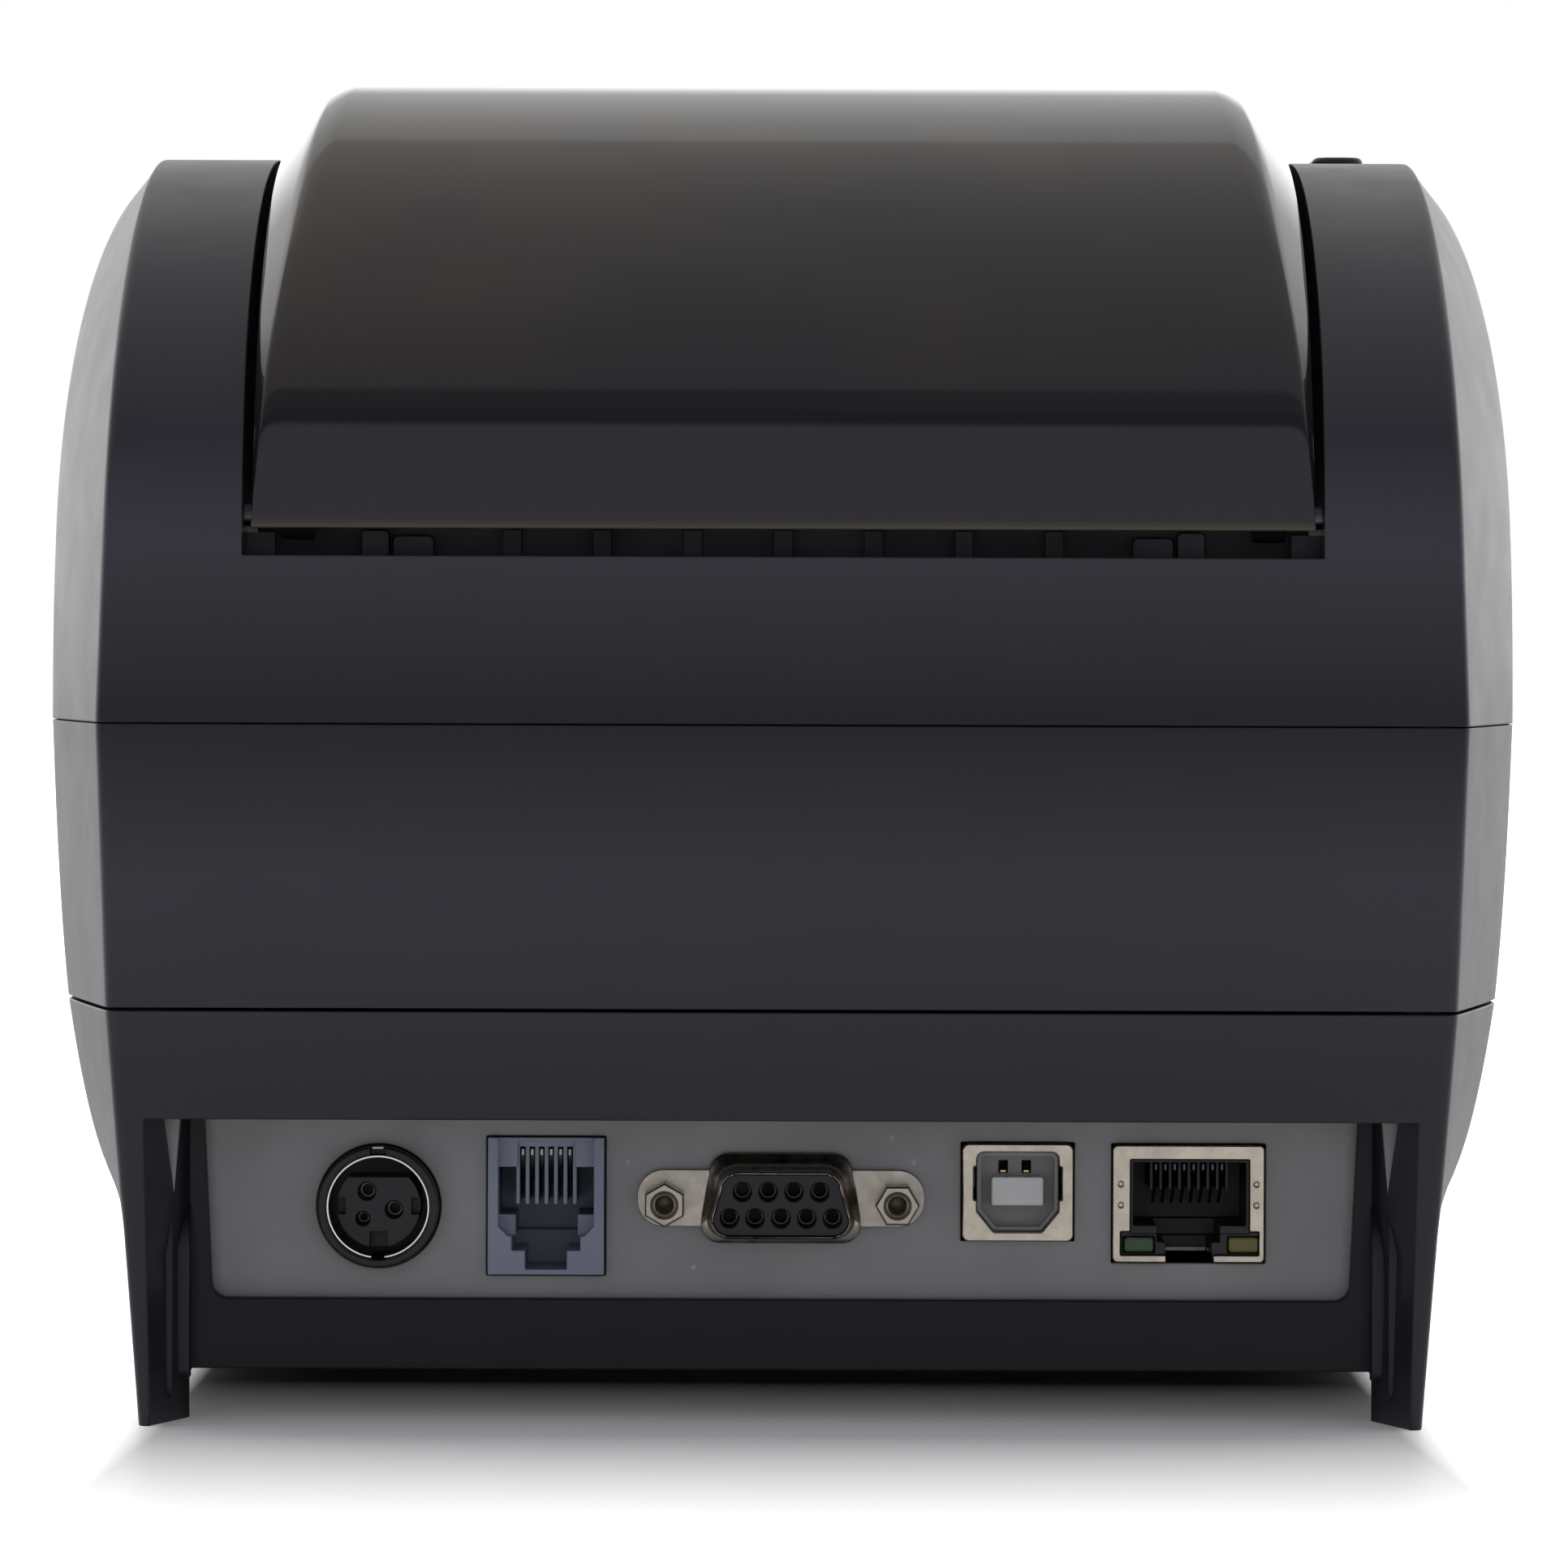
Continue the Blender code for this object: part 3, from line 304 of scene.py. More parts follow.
def piece(name, mesh, finish, body="root", replaces=(), joins=(), cuts=(), extras=(),
          bevel=0.15, segments=2, angle=38.0):
    """One finished piece on a CAD body: joins added to its mesh, cuts taken, extras added, edges rounded."""
    obj = bpy.data.objects.new(name, mesh)
    bpy.context.scene.collection.objects.link(obj)
    helpers = []
    for operation, tool in (
        [("UNION", m) for m in joins] + [("DIFFERENCE", m) for m in cuts] + [("UNION", m) for m in extras]
    ):
        helper = bpy.data.objects.new("helper", tool)
        bpy.context.scene.collection.objects.link(helper)
        helpers.append(helper)
        change = obj.modifiers.new("tool", "BOOLEAN")
        change.operation = operation
        change.object = helper
    if helpers:
        settle(obj)
    for helper in helpers:
        bpy.data.objects.remove(helper)
    weld(obj.data)
    soften(obj, bevel, segments, angle)
    return dress(obj, finish, body, replaces)


def weld(mesh, within=0.004):
    """Merges points that Booleans leave closer together than this, in millimetres."""
    shape = bmesh.new()
    shape.from_mesh(mesh)
    bmesh.ops.remove_doubles(shape, verts=shape.verts, dist=within * MM)
    shape.to_mesh(mesh)
    shape.free()


def dress(obj, finish, body, replaces=()):
    obj.data.materials.clear()
    obj.data.materials.append(FINISHES[finish])
    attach(obj, body)
    if replaces:
        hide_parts(*([replaces] if isinstance(replaces, str) else replaces))
    return obj


def refine(node, finish, width=0.25, segments=2):
    """A softened copy of a CAD node, which it replaces."""
    obj = bpy.data.objects.new(f"{node}_fine", frame["nodes"][node].data.copy())
    bpy.context.scene.collection.objects.link(obj)
    shape = bmesh.new()
    shape.from_mesh(obj.data)
    bmesh.ops.remove_doubles(shape, verts=shape.verts, dist=0.004 * MM)
    bmesh.ops.dissolve_limit(shape, angle_limit=math.radians(1.0), verts=shape.verts, edges=shape.edges)
    shape.to_mesh(obj.data)
    shape.free()
    soften(obj, width, segments)
    return dress(obj, finish, frame["nodes"][node]["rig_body"], node)


# Materials


class Tree:
    """Short calls for building a node tree."""

    def __init__(self, tree):
        self.tree = tree

    def add(self, kind, settings=None, **inputs):
        node = self.tree.nodes.new(f"ShaderNode{kind}")
        for name, value in (settings or {}).items():
            setattr(node, name, value)
        for name, value in inputs.items():
            self.feed(node.inputs[name.replace("_", " ")], value)
        return node

    def feed(self, socket, value):
        if isinstance(value, bpy.types.NodeSocket):
            self.tree.links.new(value, socket)
        else:
            socket.default_value = value

    def place(self, stretch=(1.0, 1.0, 1.0)):
        """The point on the piece at rest, in metres, with each axis stretched."""
        return self.add("Mapping", Vector=self.add("TexCoord").outputs["Object"], Scale=stretch).outputs[0]

    def noise(self, place, scale, detail=3.0, rough=0.55):
        return self.add("TexNoise", Vector=place, Scale=scale, Detail=detail, Roughness=rough).outputs["Fac"]

    def span(self, value, low, high, start=0.0, end=1.0):
        """A value's stretch from low to high moved to start to end."""
        node = self.add("MapRange", Value=value)
        for name, number in (("From Min", low), ("From Max", high), ("To Min", start), ("To Max", end)):
            node.inputs[name].default_value = number
        return node.outputs[0]

    def mix(self, share, first, second):
        node = self.add("Mix", {"data_type": "RGBA"})
        for index, value in ((0, share), (6, first), (7, second)):
            self.feed(node.inputs[index], value)
        return node.outputs[2]

    def math(self, operation, first, second=0.0):
        node = self.add("Math", {"operation": operation})
        self.feed(node.inputs[0], first)
        self.feed(node.inputs[1], second)
        return node.outputs[0]


def shade(colour, factor):
    return (*(min(1.0, c * factor) for c in colour), 1.0)


def finish(
    name, colour, roughness, metallic=0.0, vary=0.12, patches=45.0, spread=0.06,
    grain=1500.0, relief=0.01, stretch=(1.0, 1.0, 1.0), specks=0.0, painted_shade=None, constants=(),
):
    """A procedural finish: cloudy colour and roughness, a fine grain in relief, pale specks of dust.

    painted_shade gives the share of full colour and sheen at each place; where it falls below one, colour and
    sheen are darkened as painted shade.
    """
    material = bpy.data.materials.new(name)
    material.use_nodes = True
    tree = Tree(material.node_tree)
    shader = material.node_tree.nodes["Principled BSDF"]
    place = tree.place(stretch)
    cloud = tree.noise(place, patches, 4.0)
    fine = tree.noise(place, grain, 2.0)
    tint = tree.mix(tree.span(cloud, 0.3, 0.7), shade(colour, 1.0 - vary), shade(colour, 1.0 + vary))
    if specks:
        dust = tree.add("TexVoronoi", Vector=place, Scale=420.0, Randomness=1.0)
        chance = tree.add("SeparateColor", Color=dust.outputs["Color"]).outputs[0]
        rare = tree.math("GREATER_THAN", chance, 0.94)
        dot = tree.math("MULTIPLY", rare, tree.span(dust.outputs["Distance"], 0.02, 0.16, specks, 0.0))
        tint = tree.mix(dot, tint, shade(colour, 1.0 + 6.0 * specks))
    # Painted shade: where the mask is low, the colour is mixed towards a darker copy and the sheen is
    # lowered.
    if painted_shade:
        share = painted_shade(tree, place)
        tint = tree.mix(share, shade(colour, 0.3), tint)
        tree.feed(shader.inputs["Specular IOR Level"], tree.span(share, 0.0, 1.0, 0.3, 0.5))
    tree.feed(shader.inputs["Base Color"], tint)
    tree.feed(
        shader.inputs["Roughness"],
        tree.span(tree.noise(place, patches * 3.0), 0.3, 0.7, roughness - spread, roughness + spread),
    )
    shader.inputs["Metallic"].default_value = metallic
    for socket, value in constants:
        shader.inputs[socket].default_value = value
    bump = tree.add("Bump", Height=fine, Strength=1.0, Distance=relief * MM)
    tree.feed(shader.inputs["Normal"], bump.outputs[0])
    return material


def case_painted_shade(tree, place):
    """Painted shade on the case: darkest about its waist seam, a little darker low down, and dark on its
    recess wall.
    """
    axes = tree.add("SeparateXYZ", Vector=place).outputs
    height = axes["Z"]
    from_waist = tree.math("ABSOLUTE", tree.math("SUBTRACT", height, (WAIST_Z + 1.0) * MM))
    waist = tree.span(from_waist, 0.0, 17.0 * MM, 0.12, 1.0)
    low = tree.span(height, 36.0 * MM, 55.0 * MM, 0.55, 1.0)
    from_wall = tree.math("ABSOLUTE", tree.math("SUBTRACT", axes["Y"], RECESS_WALL_Y * MM))
    off_wall = tree.span(from_wall, 2.0 * MM, 4.0 * MM)
    beside = tree.span(tree.math("ABSOLUTE", axes["X"]), 65.0 * MM, 67.0 * MM)
    above = tree.span(height, SKIRT_EDGE_Z * MM, (SKIRT_EDGE_Z + 2.0) * MM)
    elsewhere = tree.math("MAXIMUM", tree.math("MAXIMUM", off_wall, beside), above)
    return tree.math("MINIMUM", tree.math("MINIMUM", waist, low), elsewhere)


def make_smoke():
    """Smoked polycarbonate, glossy; its faint see-through look is painted: a warm painted highlight along its
    lip and warm painted light in patches overhead.
    """
    material = bpy.data.materials.new("smoke")
    material.use_nodes = True
    tree = Tree(material.node_tree)
    shader = material.node_tree.nodes["Principled BSDF"]
    place = tree.place()
    height = tree.add("SeparateXYZ", Vector=place).outputs["Z"]
    # Painted highlight: a warm strip along the lip's edge. Painted light: warm cloudy patches overhead stand
    # in for light showing through the lid.
    lip = tree.span(height, (LID_LIP_Z + 1.1) * MM, (LID_LIP_Z + 0.3) * MM)
    overhead_glow = tree.span(height, (LID_LIP_Z + 12.0) * MM, (LID_TOP_Z - 10.0) * MM)
    cloud = tree.span(tree.noise(place, 26.0, 2.0), 0.35, 0.7)
    painted_glow = tree.math("MULTIPLY", overhead_glow, cloud)
    glow_tint = tree.mix(painted_glow, (0.022, 0.02, 0.022, 1.0), (0.06, 0.047, 0.032, 1.0))
    tree.feed(shader.inputs["Base Color"], tree.mix(lip, glow_tint, (0.062, 0.053, 0.034, 1.0)))
    tree.feed(shader.inputs["Roughness"], tree.span(tree.noise(place, 70.0), 0.3, 0.7, 0.015, 0.035))
    shader.inputs["IOR"].default_value = 1.52
    scratches = tree.noise(tree.place((1.0, 9.0, 9.0)), 260.0, 2.0)
    bump = tree.add("Bump", Height=scratches, Strength=0.5, Distance=0.001 * MM)
    tree.feed(shader.inputs["Normal"], bump.outputs[0])
    return material


def make_finishes():
    coat = (("Coat Weight", 0.35), ("Coat Roughness", 0.12))
    clear = (("Transmission Weight", 0.55), ("IOR", 1.5))
    across = (1.0, 14.0, 14.0)
    return {
        # The case's colour and sheen carry painted shade about its waist, low down and on its recess wall.
        "case": finish(
            "case", (0.0275, 0.0265, 0.0375), 0.37, vary=0.05, spread=0.02, specks=0.05,
            relief=0.006, painted_shade=case_painted_shade,
        ),
        "smoke": make_smoke(),
        "frame": finish("frame", (0.012, 0.012, 0.015), 0.35, relief=0.006),
        "black": finish("black", (0.013, 0.013, 0.016), 0.42, relief=0.008),
        "tub": finish("tub", (0.034, 0.034, 0.037), 0.48, relief=0.01),
        "plate": finish(
            "plate", (0.30, 0.308, 0.302), 0.46, 0.35, vary=0.07, spread=0.05,
            grain=2600.0, relief=0.014, specks=0.3,
        ),
        "nickel": finish(
            "nickel", (0.63, 0.58, 0.47), 0.26, 1.0, vary=0.1, patches=220.0, spread=0.08,
            grain=2200.0, relief=0.004,
        ),
        "dull_nickel": finish(
            "dull_nickel", (0.46, 0.425, 0.36), 0.3, 1.0, vary=0.14, patches=220.0, spread=0.08,
            relief=0.004,
        ),
        "silver": finish("silver", (0.93, 0.92, 0.9), 0.2, 1.0, vary=0.04, patches=220.0, relief=0.002),
        "steel": finish(
            "steel", (0.5, 0.5, 0.5), 0.34, 1.0, spread=0.1, stretch=across, grain=420.0, relief=0.003
        ),
        "dark_steel": finish("dark_steel", (0.16, 0.16, 0.17), 0.36, 1.0, spread=0.08, relief=0.003),
        "blue_grey": finish("blue_grey", (0.27, 0.305, 0.385), 0.45, vary=0.08, relief=0.005),
        "pale_grey": finish("pale_grey", (0.86, 0.88, 0.86), 0.42, vary=0.05, relief=0.004),
        "mid_grey": finish("mid_grey", (0.33, 0.335, 0.32), 0.4, vary=0.1, relief=0.004),
        "white": finish("white", (0.66, 0.66, 0.62), 0.4, vary=0.05, relief=0.004),
        "rubber": finish("rubber", (0.017, 0.017, 0.018), 0.78, vary=0.2, grain=900.0, relief=0.03),
        "board": finish(
            "board", (0.008, 0.075, 0.026), 0.35, vary=0.3, patches=500.0, relief=0.01, constants=coat
        ),
        "brass": finish("brass", (0.62, 0.42, 0.17), 0.28, 1.0, vary=0.1, relief=0.003),
        "gold": finish("gold", (0.78, 0.55, 0.25), 0.24, 1.0, vary=0.1, patches=400.0, relief=0.002),
        "aluminium": finish(
            "aluminium", (0.6, 0.6, 0.62), 0.32, 1.0, spread=0.1, stretch=across, relief=0.004
        ),
        "green_lens": finish("green_lens", (0.06, 0.17, 0.05), 0.16, vary=0.2, constants=clear),
        "yellow_lens": finish("yellow_lens", (0.36, 0.32, 0.05), 0.16, vary=0.2, constants=clear),
    }


# Camera, light and floor


def make_camera():
    """A long lens behind the printer, a little above its waist, as the photograph was taken."""
    data = bpy.data.cameras.new("camera")
    data.sensor_width = 36.0
    data.lens = 229.1
    data.clip_end = 20.0
    camera = bpy.data.objects.new("camera", data)
    bpy.context.scene.collection.objects.link(camera)
    camera.location = Vector((-0.17, 1167.5, 88.0)) * MM
    aim = Euler((math.radians(90.0 - 1.05), 0.0, math.pi)).to_quaternion()
    camera.rotation_mode = "QUATERNION"
    camera.rotation_quaternion = aim @ Quaternion((0.0, 0.0, 1.0), math.radians(0.2))
    bpy.context.scene.camera = camera


# Light by direction, as shares of a half turn from the +Y horizon over the top to the -Y horizon
SKY = (
    (0.0, (0.46, 0.45, 0.52)),
    (0.225, (0.44, 0.43, 0.49)),
    (0.236, (0.05, 0.05, 0.06)),
    (0.262, (0.06, 0.06, 0.07)),
    (0.266, (0.12, 0.12, 0.13)),
    (0.298, (0.12, 0.12, 0.13)),
    (0.308, (0.34, 0.33, 0.35)),
    (0.50, (0.48, 0.47, 0.48)),
    (0.771, (0.51, 0.49, 0.47)),
    (0.778, (0.68, 0.675, 0.67)),
    (0.90, (0.76, 0.76, 0.76)),
    (0.935, (1.5, 1.5, 1.5)),
    (1.0, (2.1, 2.1, 2.1)),
)


def make_world():
    """A studio: a white backdrop on the -Y side, a dim ceiling and a dimmer room behind the camera."""
    world = bpy.data.worlds.new("studio")
    bpy.context.scene.world = world
    world.use_nodes = True
    tree = Tree(world.node_tree)
    direction = tree.add("SeparateXYZ", Vector=tree.add("TexCoord").outputs["Generated"])
    turn = tree.math("ARCTAN2", tree.math("ABSOLUTE", direction.outputs["Z"]), direction.outputs["Y"])
    ramp = tree.add("ValToRGB", Fac=tree.math("DIVIDE", turn, math.pi))
    stops = ramp.color_ramp.elements
    for place, colour in SKY:
        ends = {0.0: stops[0], 1.0: stops[-1]}
        stop = ends.get(place) or stops.new(place)
        stop.color = (*colour, 1.0)
    aside = tree.math("ABSOLUTE", direction.outputs["X"])
    beyond = tree.span(direction.outputs["Y"], -0.35, -0.6)
    lit = tree.math("MULTIPLY", tree.span(aside, 0.25, 0.7), beyond)
    glow = tree.mix(lit, ramp.outputs["Color"], (1.6, 1.6, 1.6, 1.0))
    seen = tree.add("LightPath").outputs["Is Camera Ray"]
    background = world.node_tree.nodes["Background"]
    tree.feed(background.inputs["Color"], tree.mix(seen, glow, (1.0, 1.0, 1.0, 1.0)))
    bpy.context.scene.view_settings.view_transform = "Standard"


def make_floor():
    """A pale floor that glows white away from the printer; near the printer its glow fades out as a painted
    soft shadow, over the shadow it really takes, with a faint painted light under it.
    """
    mesh = bpy.data.meshes.new("floor")
    corners = [(x * 6.0, y * 6.0, 0.0) for x, y in ((-1, -1), (1, -1), (1, 1), (-1, 1))]
    mesh.from_pydata(corners, [], [(0, 1, 2, 3)])
    floor = bpy.data.objects.new("floor", mesh)
    bpy.context.scene.collection.objects.link(floor)
    material = bpy.data.materials.new("floor")
    material.use_nodes = True
    tree = Tree(material.node_tree)
    shader = material.node_tree.nodes["Principled BSDF"]
    place = tree.place()
    cloud = tree.noise(place, 9.0)
    apart = tree.add("VectorMath", {"operation": "ABSOLUTE"}, Vector=place).outputs[0]
    away = tree.add("SeparateXYZ", Vector=apart)
    # Painted shadow: the glow fades out towards the printer's sides and ends, and a faint painted light is
    # added under the printer.
    beside = tree.span(away.outputs["X"], 65.0 * MM, 72.0 * MM)
    beyond = tree.span(away.outputs["Y"], 104.0 * MM, 215.0 * MM, 0.0, 0.72)
    painted_light_beneath = tree.span(away.outputs["Y"], 45.0 * MM, 85.0 * MM, 0.0, 0.085)
    floor_glow_and_painted_shadow = tree.math("MAXIMUM", tree.math("MAXIMUM", beside, beyond), painted_light_beneath)
    shown = tree.span(tree.add("LightPath").outputs["Is Camera Ray"], 0.0, 1.0, 0.3, 1.0)
    tree.feed(shader.inputs["Base Color"], tree.mix(cloud, (0.93, 0.93, 0.93, 1.0), (0.95, 0.95, 0.95, 1.0)))
    shader.inputs["Roughness"].default_value = 0.45
    shader.inputs["Emission Color"].default_value = (1.0, 1.0, 1.0, 1.0)
    tree.feed(shader.inputs["Emission Strength"], tree.math("MULTIPLY", floor_glow_and_painted_shadow, shown))
    mesh.materials.append(material)


# The case's shape, as in the CAD but finer


def smooth_shoulder(share, power):
    """A superellipse's height at this share of its reach."""
    return max(0.0, 1.0 - min(1.0, share) ** power) ** (1.0 / power)


def edge_half(z):
    """Half the width of the rear face."""
    if z < LOWER_SEAM_Z:
        return EDGE_HALF_FLOOR + (EDGE_HALF_SEAM - EDGE_HALF_FLOOR) * max(0.0, z) / LOWER_SEAM_Z
    if z < WAIST_Z:
        rise = (z - LOWER_SEAM_Z) / (WAIST_Z - LOWER_SEAM_Z)
        return EDGE_HALF_SEAM + (EDGE_HALF_WAIST - EDGE_HALF_SEAM) * rise
    rise = (z - WAIST_Z) / (SHOULDER_Z - WAIST_Z)
    return EDGE_HALF_WAIST + (EDGE_HALF_TOP - EDGE_HALF_WAIST) * rise


def side_half(z, inset):
    """Half the width over the cheeks."""
    if z >= WAIST_Z:
        bulge = smooth_shoulder((z - WAIST_Z) / (SHOULDER_Z - inset - WAIST_Z), SHOULDER_POWER)
        return SHOULDER_HALF + (WAIST_HALF - SHOULDER_HALF) * bulge - inset
    bulge = smooth_shoulder((WAIST_Z - z) / (WAIST_Z - CHEEK_BOTTOM_Z), CHEEK_POWER)
    return edge_half(z) + (WAIST_HALF - EDGE_HALF_WAIST) * bulge - inset


def dome(z, start_z, top_z, far_y, near_y):
    """Y on an elliptical dome that stands upright at start_z and is flat at top_z."""
    rise = min(1.0, max(0.0, (z - start_z) / (top_z - start_z)))
    return near_y + (far_y - near_y) * math.sqrt(1.0 - rise * rise)


def half_ring(z, inset, rear_limit=REAR_Y, cheek_steps=16):
    """The +X half of the case's plan outline at height z, from the rear round to the front."""
    rear = min(dome(z, DOME_Z, SHOULDER_Z - inset, REAR_Y - inset, DOME_REAR_Y), rear_limit)
    front = dome(z, FRONT_DOME_Z, SHOULDER_Z - inset, FRONT_Y + inset, DOME_FRONT_Y)
    side = side_half(z, inset)
    edge = min(edge_half(z) - inset, side)
    points = []
    for end, toward, reach in ((rear, -1, REAR_CHEEK_REACH), (front, 1, FRONT_CHEEK_REACH)):
        depth = min(reach, 0.45 * (rear - front))
        half = []
        for i in range(cheek_steps + 1):
            share = CORNER / depth + (1.0 - CORNER / depth) * math.sin(math.pi / 2 * i / cheek_steps)
            spread = 1.0 - max(0.0, 1.0 - share) ** CHEEK_FLATNESS
            half.append((edge + (side - edge) * spread, end + toward * depth * share))
        half = curve_through((edge - CORNER, end), (edge, end), half[0], 5)[:-1] + half
        points += half if toward < 0 else half[::-1]
    return points


def ring(z, inset=0.0, rear_limit=REAR_Y, cheek_steps=16):
    return [(x, y, z) for x, y in mirrored(half_ring(z, inset, rear_limit, cheek_steps))]


def levels(low, high, steps):
    return [low + (high - low) * i / steps for i in range(steps + 1)]


def dome_levels(top_z, steps):
    return [DOME_Z + (top_z - DOME_Z) * math.sin(math.pi / 2 * i / steps) for i in range(1, steps + 1)]


def case_wall(low, high, steps):
    """A ring of case wall between two heights."""
    outside = [ring(z) for z in levels(low, high, steps)]
    inside = [ring(z, WALL) for z in reversed(levels(low, high, 4))]
    return loft(outside + inside, wrap=True)


# Case


def make_base_tray():
    """The base: outer skin, hollow, rear recess with its legs and the opening for the socket plate."""
    top = LOWER_SEAM_Z - LOWER_SEAM / 2
    body = loft([ring(z) for z in levels(0.0, top, 26)])
    ceiling_top = SKIRT_EDGE_Z + CEILING
    inner_wall = RECESS_WALL_Y - WALL
    lower_heights = (FLOOR_TOP_Z, 22.0, 28.0, ceiling_top + 1.0)
    lower_hollow = loft([ring(z, WALL + 0.6, inner_wall, 4) for z in lower_heights])
    upper_hollow = loft([ring(z, WALL, REAR_Y, 4) for z in (ceiling_top, 40.0, top + 1.0)])
    underside = loft([ring(z, WALL, RECESS_WALL_Y, 4) for z in (-1.0, UNDERSIDE_Z)])
    lift = box((-90.0, FRONT_Y - 1.0, -1.0), (90.0, LEG_FRONT_Y, SKIRT_LIFT))
    cuts = [lower_hollow, upper_hollow, underside, lift]
    joins = []
    for x, y in [(side * x, y) for x, y in POSTS for side in (-1, 1)]:
        joins.append(rod("Z", (x, y), 4.6, UNDERSIDE_Z + 0.5, DECK_Z[0] - 1.0, 32))
        cuts.append(rod("Z", (x, y), 3.1, -1.0, 36.0, 32))
        cuts.append(rod("Z", (x, y), 1.7, 30.0, 50.0, 24))
    cuts += recess_cuts(inner_wall)
    piece("base_tray_skin", body, "case", replaces="base_tray", joins=joins, cuts=cuts)


def recess_cuts(inner_wall):
    """What the rear recess takes from the base: room for plugs, the plate's window, and notches."""
    back = REAR_Y + 1.0
    recess = loft(
        [
            [
                (half, back, z), (-half, back, z),
                (-RECESS_HALF_BACK, RECESS_WALL_Y, z), (RECESS_HALF_BACK, RECESS_WALL_Y, z),
            ]
            for half, z in ((RECESS_HALF_FLOOR, -1.0), (RECESS_HALF_TOP, SKIRT_EDGE_Z))
        ]
    )
    top = SKIRT_EDGE_Z + 3.0
    window = [(-PLATE_FRONT_HALF - 1.0, top), (-PLATE_FRONT_HALF, PLATE_WINDOW_Z + 1.7)]
    window += arc((-PLATE_FRONT_HALF + 1.7, PLATE_WINDOW_Z + 1.7), 1.7, 180.0, 270.0, 6)
    outline = window + [(-x, z) for x, z in reversed(window)]
    opening = prism("Y", outline, inner_wall - 1.0, RECESS_WALL_Y + 1.0)
    cuts = [recess, opening]
    for side in (-1, 1):
        notch = [(side * x, z) for x, z in FLANGE_NOTCH]
        cuts.append(prism("Y", notch, inner_wall - 1.0, RECESS_WALL_Y + 9.5))
    return cuts


def make_mid_band():
    """The middle of the case, with the deck that carries the tub and the drive."""
    wall = case_wall(LOWER_SEAM_Z + LOWER_SEAM / 2, UPPER_SEAM_Z - UPPER_SEAM / 2, 14)
    deck = loft([ring(z, WALL - 0.8, REAR_Y, 4) for z in DECK_Z])
    below, above = DECK_Z[0] - 1.0, DECK_Z[1] + 1.0
    cuts = [box((-50.0, -6.0, below), (50.0, 36.0, above)), box((-40.0, -44.0, below), (40.0, -22.0, above))]
    cuts += [rod("Z", (side * x, y), 1.6, below, above) for x, y in POSTS for side in (-1, 1)]
    cuts.append(box((77.9, SWITCH_Y[0], SWITCH_Z[0]), (90.0, SWITCH_Y[1], SWITCH_Z[1])))
    inner_y, inner_z = (SWITCH_Y[0] + 1.5, SWITCH_Y[1] - 1.5), (SWITCH_Z[0] + 1.5, SWITCH_Z[1] - 1.5)
    cuts.append(box((70.0, inner_y[0], inner_z[0]), (90.0, inner_y[1], inner_z[1])))
    piece("mid_band_skin", wall, "case", replaces="mid_band", joins=[deck], cuts=cuts, bevel=0.1)


def make_top_shell():
    """The top: domed shoulders beside the lid's bay, the wall under the slot, and openings for keys."""
    low = UPPER_SEAM_Z + UPPER_SEAM / 2
    heights = levels(low, FRONT_DOME_Z, 4) + levels(FRONT_DOME_Z, DOME_Z, 5)[1:] + dome_levels(SHOULDER_Z, 44)
    body = loft([ring(z) for z in heights])
    bay_side = BAY_HALF + BAY_WALL
    hollows = []
    for side in (1, -1):
        rings = []
        for z in [low - 1.0, FRONT_DOME_Z, 91.0, DOME_Z] + dome_levels(SHOULDER_Z - WALL, 10):
            half = half_ring(z, WALL, REAR_Y, 5)
            outline = [(bay_side, half[0][1])] + half + [(bay_side, half[-1][1])]
            rings.append([(side * x, y, z) for x, y in outline])
        hollows.append(loft(rings))
    top = SHOULDER_Z + 9.0
    bay = [
        (FRONT_Y + WALL, low - 1.0), (REAR_Y - WALL, low - 1.0), (REAR_Y - WALL, SLOT_BOTTOM_Z - 4.0),
        (REAR_Y - 0.9, SLOT_BOTTOM_Z), (REAR_Y + 5.0, SLOT_BOTTOM_Z), (REAR_Y + 5.0, top),
        (FRONT_Y - 5.0, top), (FRONT_Y - 5.0, 89.0), (FRONT_Y + WALL, 89.0),
    ]
    outer = bay_side + 1.0
    cuts = hollows + [prism("X", bay, -BAY_HALF, BAY_HALF)]
    cuts.append(rod("X", HINGE, HINGE_PIN_R + 0.3, -outer, outer, 32))
    cuts.append(rod("X", LATCH, 2.4, -outer, 0.0, 32))
    opening = (KEY_HALF[0] + KEY_GAP, KEY_HALF[1] + KEY_GAP)
    for x, y in (RELEASE_KEY, FEED_KEY):
        cuts.append(prism("Z", round_box((x, y), opening, KEY_CORNER + KEY_GAP), 125.0, 150.0))
    for y in LENS_Y:
        cuts.append(rod("Z", (FEED_KEY[0], y), LENS_R + 0.2, 130.0, 150.0, 32))
    x, y = RELEASE_KEY
    cuts.append(rod("Z", (x, y), 2.0, 110.0, 120.0))
    shelf = box((x - 3.6, y - 4.0, 116.0), (-BAY_HALF - 1.0, y + 4.0, 117.6))
    piece("top_shell_skin", body, "case", replaces="top_shell", joins=[shelf], cuts=cuts)


# Lid


def lid_crease(turn):
    """Half the lid's width at its creases."""
    return LID_BASE_HALF - LID_CREASE_IN * math.sin(turn) ** LID_CREASE_POWER


